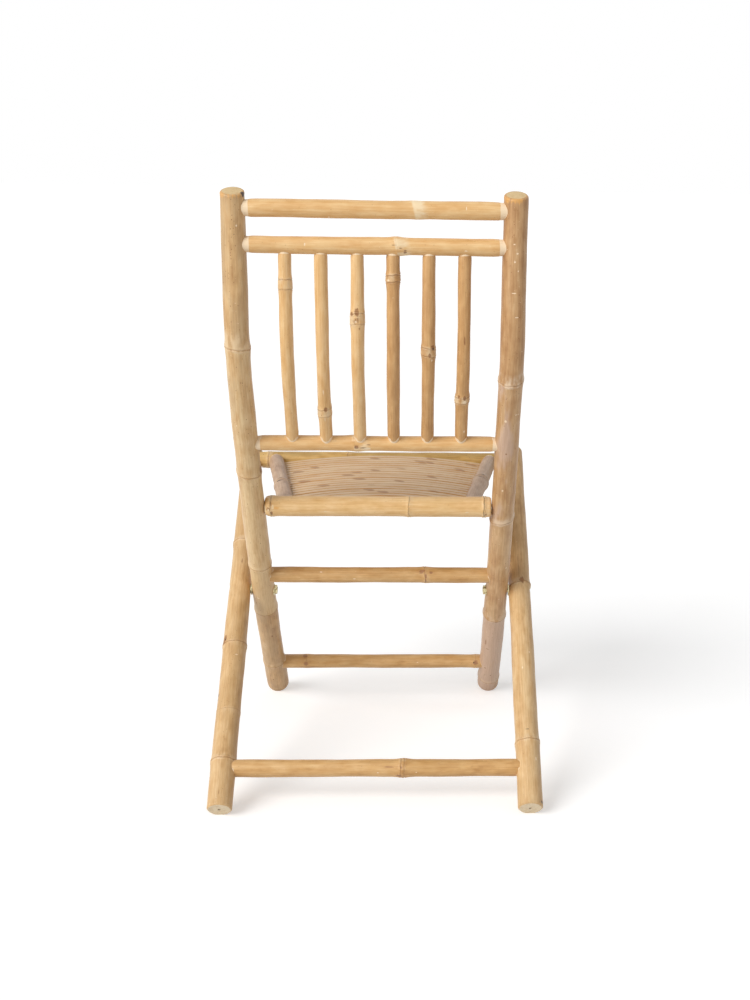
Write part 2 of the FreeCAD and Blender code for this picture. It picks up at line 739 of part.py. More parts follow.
def slat_sketch(body, half_span):
    """Section of a crowned slat on the body's XZ plane."""
    plane = next(f for f in body.Origin.OriginFeatures if f.Role == "XZ_Plane")
    sketch = body.newObject("Sketcher::SketchObject", "Section")
    sketch.AttachmentSupport = [(plane, "")]
    sketch.MapMode = "FlatFace"
    crown = size("slat_crown")
    thick = size("slat_thickness")
    radius = slat_radius(half_span)
    end_height = size("slat_end_height")
    centre = Vector(0, end_height + crown - radius, 0)
    axis = Vector(0, 0, 1)
    outer_angle = math.asin(half_span / radius)
    inner_angle = math.asin(half_span / (radius - thick))
    quarter = math.pi / 2
    outer = Part.ArcOfCircle(Part.Circle(centre, axis, radius), quarter - outer_angle,
                             quarter + outer_angle)
    inner = Part.ArcOfCircle(Part.Circle(centre, axis, radius - thick), quarter - inner_angle,
                             quarter + inner_angle)
    sketch.addGeometry(outer, False)
    sketch.addGeometry(inner, False)
    sketch.addGeometry(Part.LineSegment(outer.StartPoint, inner.StartPoint), False)
    sketch.addGeometry(Part.LineSegment(outer.EndPoint, inner.EndPoint), False)
    for first in ((0, 1, 2, 1), (2, 2, 1, 1), (0, 2, 3, 1), (3, 2, 1, 2), (0, 3, 1, 3)):
        sketch.addConstraint(Sketcher.Constraint("Coincident", *first))
    sketch.addConstraint(Sketcher.Constraint("Vertical", 2))
    sketch.addConstraint(Sketcher.Constraint("Vertical", 3))
    sketch.addConstraint(Sketcher.Constraint("PointOnObject", 0, 3, -2))
    sketch.addConstraint(Sketcher.Constraint("DistanceX", -1, 1, 0, 1, half_span))
    sketch.addConstraint(Sketcher.Constraint("DistanceY", -1, 1, 0, 1, end_height))
    sketch.addConstraint(Sketcher.Constraint("Radius", 0, radius))
    sketch.addConstraint(Sketcher.Constraint("Radius", 1, radius - thick))
    rise = "Sizes.slat_crown"
    rule = f"({half_span} ^ 2 + {rise} ^ 2) / (2 * {rise})"
    count = sketch.ConstraintCount
    sketch.setExpression(f"Constraints[{count - 3}]", "Sizes.slat_end_height")
    sketch.setExpression(f"Constraints[{count - 2}]", rule)
    sketch.setExpression(f"Constraints[{count - 1}]", rule + " - Sizes.slat_thickness")
    return sketch


FIRST_SLAT = size("seat_rear_rail_dia") / 2 + size("slat_end_gap")
LAST_SLAT = SEAT_DEPTH - size("seat_front_rail_dia") / 2 - size("slat_end_gap")
SLAT_PITCH = (LAST_SLAT - FIRST_SLAT) / SLAT_COUNT


def slat_half_span(forward):
    """Half length of the slat at a distance in front of the rear rail's axis."""
    share = forward / SEAT_DEPTH
    rail_x = SIDE_REAR_X + (SIDE_FRONT_X - SIDE_REAR_X) * share
    rail_radius = taper("side_rail_rear_dia", "side_rail_front_dia", share)
    corner = (SIDE_FRONT_X - SIDE_REAR_X) / SEAT_DEPTH * (SLAT_PITCH - size("slat_gap")) / 2
    return rail_x - rail_radius + size("slat_tuck") - corner


def make_slats():
    """Crowned slats that fill the seat from the rear rail to the front rail."""
    for index in range(SLAT_COUNT):
        forward = FIRST_SLAT + (index + 0.5) * SLAT_PITCH
        body = doc.addObject("PartDesign::Body", "Slat")
        sketch = slat_sketch(body, slat_half_span(forward))
        doc.recompute()
        pad = body.newObject("PartDesign::Pad", "Strip")
        pad.Profile = sketch
        pad.setExpression("Length", f"{SLAT_PITCH} - Sizes.slat_gap")
        pad.Midplane = True
        body.Placement = Placement(on_seat(0, forward, 0), SEAT_TURN)
        node(body, f"slat_{index + 1:02d}")


def make_batten():
    """Batten under the middle of the slats, from rail to rail."""
    half_width = size("batten_width") / 2
    top = slat_underside(slat_half_span(FIRST_SLAT), half_width) - size("batten_gap")
    corner = on_seat(-half_width, SEAT_DEPTH, top - size("batten_thickness"))
    blank = box("Sizes.batten_width", SEAT_DEPTH, "Sizes.batten_thickness", corner, SEAT_TURN)
    tools = [seat_rail_tool(0, "seat_rear_rail_dia"),
             seat_rail_tool(SEAT_DEPTH, "seat_front_rail_dia")]
    node(cut(blank, tools), "seat_batten")


make_back()
make_legs()
make_fasteners()
make_seat_rails()
make_side_rails()
make_slats()
make_batten()
doc.recompute()

for obj in doc.Objects:
    if "Invalid" in obj.State or "Error" in obj.State:
        raise RuntimeError(f"{obj.Name} ({obj.Label}) failed: {obj.State}")

os.makedirs("parts", exist_ok=True)
for name, piece in NODES:
    shape = piece.Shape
    if shape.isNull() or not shape.isValid() or len(shape.Solids) != 1:
        raise RuntimeError(f"{name} is not one valid solid")
    shape.exportStep(f"parts/{name}.step")

print(f"{len(NODES)} pieces")
print(f"pivot ({PIVOT.y:.3f}, {PIVOT.z:.3f}), seat hinge ({SEAT_REAR.y:.3f}, {SEAT_REAR.z:.3f})")
print(f"seat depth {SEAT_DEPTH:.2f}, tilt {SEAT_TILT:.2f}, leg centre x {LEG_X:.2f}")
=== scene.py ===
import logging
import math
from dataclasses import dataclass, field, replace
from enum import Enum

import bpy
import numpy as np
from mathutils import Matrix, Vector


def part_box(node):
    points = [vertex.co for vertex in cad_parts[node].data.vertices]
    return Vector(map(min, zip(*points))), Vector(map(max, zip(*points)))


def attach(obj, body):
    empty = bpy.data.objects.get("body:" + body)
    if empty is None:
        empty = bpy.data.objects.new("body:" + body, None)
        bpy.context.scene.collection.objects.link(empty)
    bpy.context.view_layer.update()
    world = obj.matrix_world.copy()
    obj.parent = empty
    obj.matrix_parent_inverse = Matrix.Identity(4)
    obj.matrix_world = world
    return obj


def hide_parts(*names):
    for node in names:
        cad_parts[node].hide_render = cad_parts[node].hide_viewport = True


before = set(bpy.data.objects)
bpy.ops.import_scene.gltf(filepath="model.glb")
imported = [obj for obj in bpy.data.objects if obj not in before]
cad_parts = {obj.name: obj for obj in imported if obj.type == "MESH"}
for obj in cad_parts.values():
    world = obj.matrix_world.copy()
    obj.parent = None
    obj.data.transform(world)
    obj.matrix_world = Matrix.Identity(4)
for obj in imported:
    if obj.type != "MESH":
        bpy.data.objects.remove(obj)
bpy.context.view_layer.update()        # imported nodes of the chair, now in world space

# A folding side chair of dried bamboo canes: posts, rails and spindles, crossed legs and a
# slatted seat. Metres, +Z up, the front faces -Y and the sitter's left is +X.

Array = np.ndarray
Mesh = bpy.types.Mesh
Material = bpy.types.Material
Tree = bpy.types.NodeTree
Socket = bpy.types.NodeSocket
Value = Socket | float
Colour = Socket | tuple
MM = 0.001
# rise of a slat's upper face in its middle, as a share of half its thickness
CAMBER = 0.32
# share of a host's radius by which a cane's hidden end stays short of the host's axis
REACH_IN = 0.35
LOG = logging.getLogger("chair")


class Body(Enum):
    """Moving bodies of the chair."""

    BACK = "back_frame"
    LEGS = "leg_frame"
    SEAT = "seat"


class Slot(Enum):
    """Material slots of the record; each rebuilt cane keeps one, which nothing here applies."""

    POST = "post_bamboo"
    LEG = "leg_bamboo"
    RAIL = "rail_bamboo"
    SPINDLE = "spindle_bamboo"
    SLAT = "slat_bamboo"
    SIDE_RAIL = "side_rail_bamboo"
    FRONT_RAIL = "front_rail_bamboo"


class MarkKind(Enum):
    """What a blemish is; the value is the mesh attribute that carries it."""

    SCAR = "scar"
    BURN = "burn"
    CREAM = "cream"
    AMBER = "amber"


# ---------- colours and nodes


def linear(code: str) -> tuple[float, float, float, float]:
    """Turns an sRGB hex colour into linear values.

    Args:
        code: Colour such as "#d2ae82".

    Returns:
        Red, green, blue and an alpha of 1.
    """
    parts = [int(code[i:i + 2], 16) / 255 for i in (1, 3, 5)]
    lit = [p / 12.92 if p <= 0.04045 else ((p + 0.055) / 1.055) ** 2.4 for p in parts]
    return lit[0], lit[1], lit[2], 1.0


def add_node(tree: Tree, kind: str, inputs: dict | None = None,
             **settings) -> bpy.types.Node:
    """Adds a node with its settings, values and links.

    Args:
        tree: Node tree of a material or of geometry.
        kind: Type name of the node.
        inputs: Value or source socket for each input, by name or number.
        **settings: Properties of the node.

    Returns:
        The new node.
    """
    node = tree.nodes.new(kind)
    for name, value in settings.items():
        setattr(node, name, value)
    for key, value in (inputs or {}).items():
        if isinstance(value, Socket):
            tree.links.new(value, node.inputs[key])
        else:
            node.inputs[key].default_value = value
    return node


MIX_FACTOR = 0
MIX_A = 6
MIX_B = 7
MIX_RESULT = 2


def blend_colour(tree: Tree, factor: Value, first: Colour, second: Colour,
                 mode: str = "MIX") -> Socket:
    """Mixes two colours and returns the result's socket.

    Args:
        tree: Material's node tree.
        factor: Number or socket, 0 for the first colour and 1 for the second.
        first: Colour or socket.
        second: Colour or socket.
        mode: Blend type.

    Returns:
        Colour socket.
    """
    mixed = add_node(tree, "ShaderNodeMix", {MIX_FACTOR: factor, MIX_A: first, MIX_B: second},
                     data_type="RGBA", blend_type=mode)
    return mixed.outputs[MIX_RESULT]


def ramp_between(tree: Tree, value: Socket, low: float, high: float,
                 top: float = 1.0) -> Socket:
    """Smooth step from 0 at low to top at high.

    Args:
        tree: Node tree.
        value: Socket with the number.
        low: Where the step starts.
        high: Where it ends, above or below low.
        top: Value at and past high.

    Returns:
        Number socket.
    """
    node = add_node(tree, "ShaderNodeMapRange",
                    {"Value": value, "From Min": low, "From Max": high, "To Min": 0.0,
                     "To Max": top}, interpolation_type="SMOOTHSTEP")
    return node.outputs["Result"]


def number(tree: Tree, operation: str, first: Value, second: Value) -> Socket:
    """Result of a sum, product or other operation on two numbers.

    Args:
        tree: Node tree.
        operation: Name of the operation.
        first: Number or socket.
        second: Number or socket.

    Returns:
        Number socket.
    """
    node = add_node(tree, "ShaderNodeMath", {0: first, 1: second}, operation=operation)
    return node.outputs[0]


def attribute(tree: Tree, name: str, output: str = "Fac") -> Socket:
    """Socket that reads a named attribute of the mesh."""
    return add_node(tree, "ShaderNodeAttribute", attribute_name=name).outputs[output]


def new_material(label: str) -> tuple[Material, Tree,
                                      bpy.types.Node]:
    """Makes an empty material.

    Args:
        label: Its name.

    Returns:
        The material, its tree and its Principled shader.
    """
    material = bpy.data.materials.new(label)
    material.use_nodes = True
    tree = material.node_tree
    tree.nodes.clear()
    shader = add_node(tree, "ShaderNodeBsdfPrincipled")
    add_node(tree, "ShaderNodeOutputMaterial", {"Surface": shader.outputs["BSDF"]})
    return material, tree, shader


def swing(tree: Tree, value: Socket, share: float) -> Socket:
    """Share of a noise's swing about its middle."""
    return number(tree, "MULTIPLY", number(tree, "SUBTRACT", value, 0.5), share)


def plus(tree: Tree, base: Value, value: Socket, share: float) -> Socket:
    """Base plus a share of a value."""
    return number(tree, "ADD", base, number(tree, "MULTIPLY", value, share))


@dataclass(frozen=True)
class Grain:
    """Stretched noise, its grain sizes in millimetres across and along the fibres."""

    across: float
    along: float
    detail: float = 3.0
    shift: float = 0.0

    def place(self, tree: Tree, culm: Socket) -> Socket:
        """Adds the noise to a tree and returns its value socket.

        Args:
            tree: Node tree.
            culm: Socket with the cane's own coordinates.

        Returns:
            Value socket.
        """
        scale = (1 / (self.across * MM), 1 / (self.across * MM), 1 / (self.along * MM))
        placed = add_node(tree, "ShaderNodeMapping",
                          {"Vector": culm, "Location": (self.shift,) * 3, "Scale": scale})
        noise = add_node(tree, "ShaderNodeTexNoise",
                         {"Vector": placed.outputs["Vector"], "Scale": 1.0,
                          "Detail": self.detail, "Roughness": 0.55})
        return noise.outputs["Fac"]


def seeded_culm(tree: Tree) -> Socket:
    """Socket with a cane's own coordinates, shifted by its seed so that no two look alike.

    Args:
        tree: Node tree.

    Returns:
        Vector socket.
    """
    plain = attribute(tree, "culm", "Vector")
    seed = attribute(tree, "seed")
    return add_node(tree, "ShaderNodeVectorMath", {0: plain, 1: seed},
                    operation="ADD").outputs["Vector"]


@dataclass(frozen=True)
class SkinNoise:
    """Noise sockets of a cane's skin, from long streaks to broad patches."""

    streak: Socket
    fibre: Socket
    mottle: Socket
    patch: Socket


@dataclass(frozen=True)
class CaneFinish:
    """Skin of a peeled and sun-dried bamboo cane, rubbed with a thin clear oil.

    The skin gives a broad satin gloss, long fibre streaks, darker pores and weather patches,
    a brown line and a pale band at every node, and pale wood where a joint was sanded.
    """

    label: str
    skin: str
    pale: str
    shade: str
    weather: str
    weather_share: float = 0.35
    fleck_share: float = 0.5
    scuff_share: float = 0.4
    ring: str = "#8a5c34"
    bloom: str = "#e0c39a"
    scar: str = "#8c5828"
    burn: str = "#3a2618"
    amber: str = "#dca45c"
    sanded: str = "#f3dbb9"
    roughness: float = 0.46

    def material(self) -> Material:
        """Builds the node material.

        Returns:
            Node material.
        """
        material, tree, shader = new_material(self.label)
        culm = seeded_culm(tree)
        noise = SkinNoise(
            streak=Grain(2.8, 130, 5.0).place(tree, culm),
            # real fibres are 0.3 mm apart, drawn at 1.2 mm so that they show at this distance
            fibre=Grain(1.2, 34, 2.0, 5.0).place(tree, culm),
            mottle=Grain(11, 26, 5.0, 9.0).place(tree, culm),
            patch=Grain(26, 100, 4.0, 14.0).place(tree, culm))
        pores = self.pores(tree, culm)
        colour = self.skin_colour(tree, noise)
        colour = blend_colour(tree, pores, colour, linear(self.scar))
        scuffs = ramp_between(tree, Grain(5.0, 1.6, 3.0, 31.0).place(tree, culm), 0.70, 0.74,
                              self.scuff_share)
        colour = blend_colour(tree, scuffs, colour, linear(self.sanded))
        colour = self.blemished(tree, noise, colour)
        worn = swing(tree, noise.mottle, 0.35)
        sanded = ramp_between(tree, number(tree, "ADD", attribute(tree, "sanded"), worn),
                              0.42, 0.58, 0.92)
        colour = blend_colour(tree, sanded, colour, linear(self.sanded))
        tree.links.new(colour, shader.inputs["Base Color"])

        matt = plus(tree, plus(tree, self.roughness - 0.08, noise.streak, 0.16), sanded, 0.2)
        tree.links.new(matt, shader.inputs["Roughness"])
        relief = plus(tree, plus(tree, noise.fibre, pores, -1.5), noise.mottle, 1.2)
        bump = add_node(tree, "ShaderNodeBump", {"Height": relief, "Strength": 0.45,
                                                 "Distance": 0.3 * MM})
        tree.links.new(bump.outputs["Normal"], shader.inputs["Normal"])
        shader.inputs["IOR"].default_value = 1.48
        shader.inputs["Coat Weight"].default_value = 0.06
        shader.inputs["Coat Roughness"].default_value = 0.35
        return material

    def skin_colour(self, tree: Tree, noise: SkinNoise) -> Socket:
        """Colour of the sound skin, from shade to pale, with weathered patches.

        Args:
            tree: Material's node tree.
            noise: Noises of the skin.

        Returns:
            Colour socket.
        """
        tone = number(tree, "MULTIPLY", noise.streak, 0.34)
        for value, share in ((noise.mottle, 0.48), (noise.patch, 0.28),
                             (attribute(tree, "light"), 0.16)):
            tone = plus(tree, tone, value, share)
        ramp = add_node(tree, "ShaderNodeValToRGB", {"Fac": tone})
        stops = ramp.color_ramp.elements
        stops[0].position = 0.34
        stops[0].color = linear(self.shade)
        stops[1].position = 0.66
        stops[1].color = linear(self.pale)
        stops.new(0.5).color = linear(self.skin)
        colour = ramp.outputs["Color"]
        exposed = plus(tree, noise.patch, attribute(tree, "weather"), 0.3)
        weathered = ramp_between(tree, exposed, 0.50, 0.68, self.weather_share)
        colour = blend_colour(tree, weathered, colour, linear(self.weather))
        fine = ramp_between(tree, noise.fibre, 0.60, 0.40, 0.17)
        return blend_colour(tree, fine, colour, linear(self.shade), "MULTIPLY")

    def blemished(self, tree: Tree, noise: SkinNoise,
                  colour: Socket) -> Socket:
        """Adds pale bands, frayed marks and the brown lines of the nodes.

        Args:
            tree: Material's node tree.
            noise: Noises of the skin.
            colour: Colour so far.

        Returns:
            Colour socket.
        """
        ragged = ramp_between(tree, noise.mottle, 0.34, 0.62)
        bloom = number(tree, "MULTIPLY", attribute(tree, "bloom"), ragged)
        colour = blend_colour(tree, bloom, colour, linear(self.bloom))
        fray = number(tree, "ADD", swing(tree, noise.mottle, 1.4), swing(tree, noise.fibre, 0.8))
        for kind, tint, reach in ((MarkKind.AMBER, self.amber, 0.85),
                                  (MarkKind.SCAR, self.scar, 0.8),
                                  (MarkKind.CREAM, self.sanded, 0.9),
                                  (MarkKind.BURN, self.burn, 0.95)):
            edge = number(tree, "ADD", attribute(tree, kind.value), fray)
            mask = ramp_between(tree, edge, 0.36, 0.62, reach)
            inside = ramp_between(tree, attribute(tree, kind.value), 0.04, 0.2)
            colour = blend_colour(tree, number(tree, "MULTIPLY", mask, inside), colour,
                                  linear(tint))
        line = number(tree, "MULTIPLY", attribute(tree, "ring"),
                      ramp_between(tree, noise.streak, 0.25, 0.55))
        return blend_colour(tree, line, colour, linear(self.ring))

    def pores(self, tree: Tree, culm: Socket
              ) -> Socket:
        """Mask of sparse dark pores, in cells 3.2 mm across the fibres and 5.5 mm along them.

        Args:
            tree: Material's node tree.
            culm: Socket with the cane's own coordinates.

        Returns:
            Mask socket.
        """
        scale = (1 / (3.2 * MM), 1 / (3.2 * MM), 1 / (5.5 * MM))
        placed = add_node(tree, "ShaderNodeMapping", {"Vector": culm, "Scale": scale})
        cells = add_node(tree, "ShaderNodeTexVoronoi",
                         {"Vector": placed.outputs["Vector"], "Scale": 1.0})
        radius = 0.2
        dot = ramp_between(tree, cells.outputs["Distance"], radius, radius * 0.45,
                           self.fleck_share)
        # the cell's own random colour keeps about one dot in four
        kept = add_node(tree, "ShaderNodeSeparateColor", {"Color": cells.outputs["Color"]})
        few = ramp_between(tree, kept.outputs[0], 0.68, 0.78)
        return number(tree, "MULTIPLY", dot, few)


@dataclass(frozen=True)
class CutFinish:
    """End grain of sawn bamboo: pale matt wood with brown fibre bundles, and painted shade on cut
    faces near the axis for the dark of the cane's hollow.
    """

    label: str
    wood: str
    bundle: str
    # painted shade: dark brown for cut faces near the axis, such as the walls of the bored pith
    # holes
    hollow: str = "#4a3322"
    roughness: float = 0.7

    def material(self) -> Material:
        """Builds the node material.

        Returns:
            Node material.
        """
        material, tree, shader = new_material(self.label)
        culm = seeded_culm(tree)
        spots = add_node(tree, "ShaderNodeMapping",
                         {"Vector": culm, "Scale": (1 / (1.1 * MM), 1 / (1.1 * MM), 40.0)})
        cells = add_node(tree, "ShaderNodeTexVoronoi",
                         {"Vector": spots.outputs["Vector"], "Scale": 1.0})
        dot = ramp_between(tree, cells.outputs["Distance"], 0.5, 0.15, 0.4)
        cloud = Grain(6, 6, 3.0, 3.0).place(tree, culm)
        colour = blend_colour(tree, ramp_between(tree, cloud, 0.45, 0.7, 0.35),
                              linear(self.wood), linear(self.bundle))
        colour = blend_colour(tree, dot, colour, linear(self.bundle))
        # painted shade inside bored holes near the axis, standing in for the dark of the hollow
        colour = blend_colour(tree, attribute(tree, "hollow"), colour, linear(self.hollow))
        tree.links.new(colour, shader.inputs["Base Color"])
        bump = add_node(tree, "ShaderNodeBump",
                        {"Height": dot, "Strength": 0.4, "Distance": 0.2 * MM})
        tree.links.new(bump.outputs["Normal"], shader.inputs["Normal"])
        shader.inputs["Roughness"].default_value = self.roughness
        return material


@dataclass(frozen=True)
class SlatFinish:
    """Split bamboo strip, planed: pale pinkish wood, orange edges and brown node marks."""

    label: str
    wood: str
    pale: str
    edge: str
    mark: str
    roughness: float = 0.55

    def material(self) -> Material:
        """Builds the node material.

        Returns:
            Node material.
        """
        material, tree, shader = new_material(self.label)
        grain = attribute(tree, "grain", "Vector")
        swapped = add_node(tree, "ShaderNodeSeparateXYZ", {"Vector": grain})
        strip = add_node(tree, "ShaderNodeCombineXYZ",
                         {"X": swapped.outputs["Y"], "Y": swapped.outputs["Z"],
                          "Z": swapped.outputs["X"]}).outputs["Vector"]
        streak = Grain(2.2, 90, 4.0).place(tree, strip)
        cloud = Grain(14, 60, 3.0, 6.0).place(tree, strip)
        fibre = Grain(1.2, 30, 2.0, 11.0).place(tree, strip)
        colour = blend_colour(tree, ramp_between(tree, streak, 0.35, 0.65), linear(self.wood),
                              linear(self.pale))
        warm = ramp_between(tree, cloud, 0.48, 0.68, 0.4)
        colour = blend_colour(tree, warm, colour, linear(self.edge))
        across = number(tree, "ABSOLUTE", attribute(tree, "across"), 0.0)
        wavering = number(tree, "ADD", across, swing(tree, cloud, 0.9))
        rim = ramp_between(tree, wavering, 0.70, 0.93, 0.85)
        colour = blend_colour(tree, rim, colour, linear(self.edge))
        ragged = number(tree, "ADD", attribute(tree, "mark"),
                        swing(tree, fibre, 1.6))
        mark = ramp_between(tree, ragged, 0.35, 0.85, 0.7)
        colour = blend_colour(tree, mark, colour, linear(self.mark))
        tree.links.new(colour, shader.inputs["Base Color"])
        bump = add_node(tree, "ShaderNodeBump",
                        {"Height": fibre, "Strength": 0.3, "Distance": 0.2 * MM})
        tree.links.new(bump.outputs["Normal"], shader.inputs["Normal"])
        shader.inputs["Roughness"].default_value = self.roughness
        return material


@dataclass(frozen=True)
class BattenFinish:
    """Rough split bamboo lath, read on object coordinates with its fibres along Y."""

    label: str
    wood: str
    shade: str

    def material(self) -> Material:
        """Builds the node material.

        Returns:
            Node material.
        """
        material, tree, shader = new_material(self.label)
        place = add_node(tree, "ShaderNodeTexCoord").outputs["Object"]
        turned = add_node(tree, "ShaderNodeMapping",
                          {"Vector": place, "Rotation": (math.pi / 2, 0.0, 0.0)})
        streak = Grain(2.5, 80, 4.0).place(tree, turned.outputs["Vector"])
        colour = blend_colour(tree, ramp_between(tree, streak, 0.35, 0.65), linear(self.shade),
                              linear(self.wood))
        tree.links.new(colour, shader.inputs["Base Color"])
        bump = add_node(tree, "ShaderNodeBump",
                        {"Height": streak, "Strength": 0.4, "Distance": 0.3 * MM})
        tree.links.new(bump.outputs["Normal"], shader.inputs["Normal"])
        shader.inputs["Roughness"].default_value = 0.65
        return material


@dataclass(frozen=True)
class MetalFinish:
    """Cold-formed steel, zinc plated or bright drawn, with fine scratches and dull spots."""

    label: str
    metal: str
    dull: str
    roughness: float

    def material(self) -> Material:
        """Builds the node material.

        Returns:
            Node material.
        """
        material, tree, shader = new_material(self.label)
        place = add_node(tree, "ShaderNodeTexCoord").outputs["Object"]
        cloud = add_node(tree, "ShaderNodeTexNoise",
                         {"Vector": place, "Scale": 1 / (3 * MM), "Detail": 4.0})
        spots = ramp_between(tree, cloud.outputs["Fac"], 0.45, 0.65, 0.8)
        colour = blend_colour(tree, spots, linear(self.metal), linear(self.dull))
        tree.links.new(colour, shader.inputs["Base Color"])
        matt = number(tree, "ADD", number(tree, "MULTIPLY", spots, 0.2), self.roughness)
        tree.links.new(matt, shader.inputs["Roughness"])
        scratches = add_node(tree, "ShaderNodeTexNoise",
                             {"Vector": place, "Scale": 1 / (0.6 * MM), "Detail": 2.0})
        bump = add_node(tree, "ShaderNodeBump", {"Height": scratches.outputs["Fac"],
                                                 "Strength": 0.15, "Distance": 0.05 * MM})
        tree.links.new(bump.outputs["Normal"], shader.inputs["Normal"])
        shader.inputs["Metallic"].default_value = 1.0
        return material


# ---------- centre lines


class CentreLine:
    """Centre line of a cane, sampled along its run, with a direction that faces outwards."""

    STEP = 1.0 * MM

    def __init__(self, length: float, facing: Vector) -> None:
        """Keeps the length in metres and the facing direction.

        Args:
            length: Length of the line.
            facing: Direction at angle zero.
        """
        self.length = length
        self.facing = facing
        self.runs = np.linspace(0.0, length, max(2, int(length / self.STEP) + 1))
        self.centres = np.array([self.point(run) for run in self.runs])
        slopes = np.gradient(self.centres, self.runs, axis=0)
        self.ways = slopes / np.linalg.norm(slopes, axis=1)[:, None]

    def point(self, run: float) -> tuple[float, float, float]:
        """Point of the line at a run from its start."""
        raise NotImplementedError

    def locate(self, points: Array) -> tuple[Array, Array, Array, Array]:
        """Finds where points lie on the line.

        Args:
            points: Positions, one a row.

        Returns:
            Run along the line, radius, angle from the facing side and the nearest centre.
        """
        chord = self.centres[-1] - self.centres[0]
        share = (points - self.centres[0]) @ chord / (chord @ chord)
        last = len(self.runs) - 1
        place = np.clip(share * last, 0, last)
        for _ in range(6):
            nearest = np.rint(place).astype(int)
            ahead = ((points - self.centres[nearest]) * self.ways[nearest]).sum(axis=1)
            place = np.clip(nearest + ahead / self.length * last, 0, last)
        nearest = np.rint(place).astype(int)
        way = self.ways[nearest]
        offset = points - self.centres[nearest]
        ahead = (offset * way).sum(axis=1)
        run = self.runs[nearest] + ahead
        centre = self.centres[nearest] + way * ahead[:, None]
        radial = points - centre
        face = np.array(self.facing)[None, :] - way * (way @ np.array(self.facing))[:, None]
        face /= np.linalg.norm(face, axis=1)[:, None]
        side = np.cross(way, face)
        angle = np.arctan2((radial * side).sum(axis=1), (radial * face).sum(axis=1))
        return run, np.linalg.norm(radial, axis=1), angle, centre


class StraightLine(CentreLine):
    """Straight centre line."""

    def __init__(self, start: Vector, end: Vector, facing: Vector) -> None:
        """Line from start to end.

        Args:
            start: First point.
            end: Last point.
            facing: Direction at angle zero.
        """
        self.start = start
        self.way = (end - start).normalized()
        super().__init__((end - start).length, facing)

    def point(self, run: float) -> tuple[float, float, float]:
        """Point of the line at a run from its start."""
        return tuple(self.start + self.way * run)


@dataclass(frozen=True)
class PostCurve:
    """Side view of the posts: the lean shrinks along the lower run and through the bend."""

    foot_lean: float = math.radians(42.9)
    waist_lean: float = math.radians(25.9)
    top_lean: float = math.radians(1.3)
    lower: float = 0.721
    bend_radius: float = 0.263
    foot_radius: float = 0.0184
    wear: float = 0.0008
    origin_back: float = 0.2274654
    run: float = 0.9905897

    def arc(self, lean: float, curl: float, run: float) -> tuple[float, float]:
        """Backward and upward travel along a run whose lean drops by curl per metre.

        Args:
            lean: Lean at the start.
            curl: Drop of the lean.
            run: Length of the run.

        Returns:
            Both travels.
        """
        end = lean - curl * run
        return ((math.cos(end) - math.cos(lean)) / curl,
                (math.sin(lean) - math.sin(end)) / curl)

    def at(self, run: float) -> tuple[float, float]:
        """Depth and height of the centre line at a run from the foot.

        Args:
            run: Run from the foot.

        Returns:
            Depth and height.
        """
        curl = (self.foot_lean - self.waist_lean) / self.lower
        lower = min(run, self.lower)
        back, up = self.arc(self.foot_lean, curl, max(lower, 1e-9))
        bend = self.bend_radius * (self.waist_lean - self.top_lean)
        bent = min(max(run - self.lower, 0.0), bend)
        if bent > 0:
            step = self.arc(self.waist_lean, 1 / self.bend_radius, bent)
            back += step[0]
            up += step[1]
        straight = max(run - self.lower - bend, 0.0)
        back += math.sin(self.top_lean) * straight
        up += math.cos(self.top_lean) * straight
        rise = self.foot_radius * math.sin(self.foot_lean) - self.wear
        return back - self.origin_back, up + rise

    def run_at(self, height: float) -> float:
        """Run at which the centre line reaches a height.

        Args:
            height: Height above the floor.

        Returns:
            Run from the foot.
        """
        low = 0.0
        high = self.run
        for _ in range(40):
            middle = (low + high) / 2
            if self.at(middle)[1] < height:
                low = middle
            else:
                high = middle
        return (low + high) / 2


POST = PostCurve()


class BentLine(CentreLine):
    """Part of the posts' curve, moved sideways."""

    def __init__(self, x: float, start: float, end: float) -> None:
        """Line from one run of the curve to another at a sideways place.

        Args:
            x: Sideways place.
            start: First run.
            end: Last run.
        """
        self.x = x
        self.first = start
        super().__init__(end - start, Vector((0, 1, 0)))

    def point(self, run: float) -> tuple[float, float, float]:
        """Point of the line at a run from its start."""
        depth, height = POST.at(self.first + run)
        return self.x, depth, height


# ---------- canes


def wrapped(angle: Array) -> Array:
    """Angle brought into the half turn either side of zero."""
    return np.angle(np.exp(1j * angle))


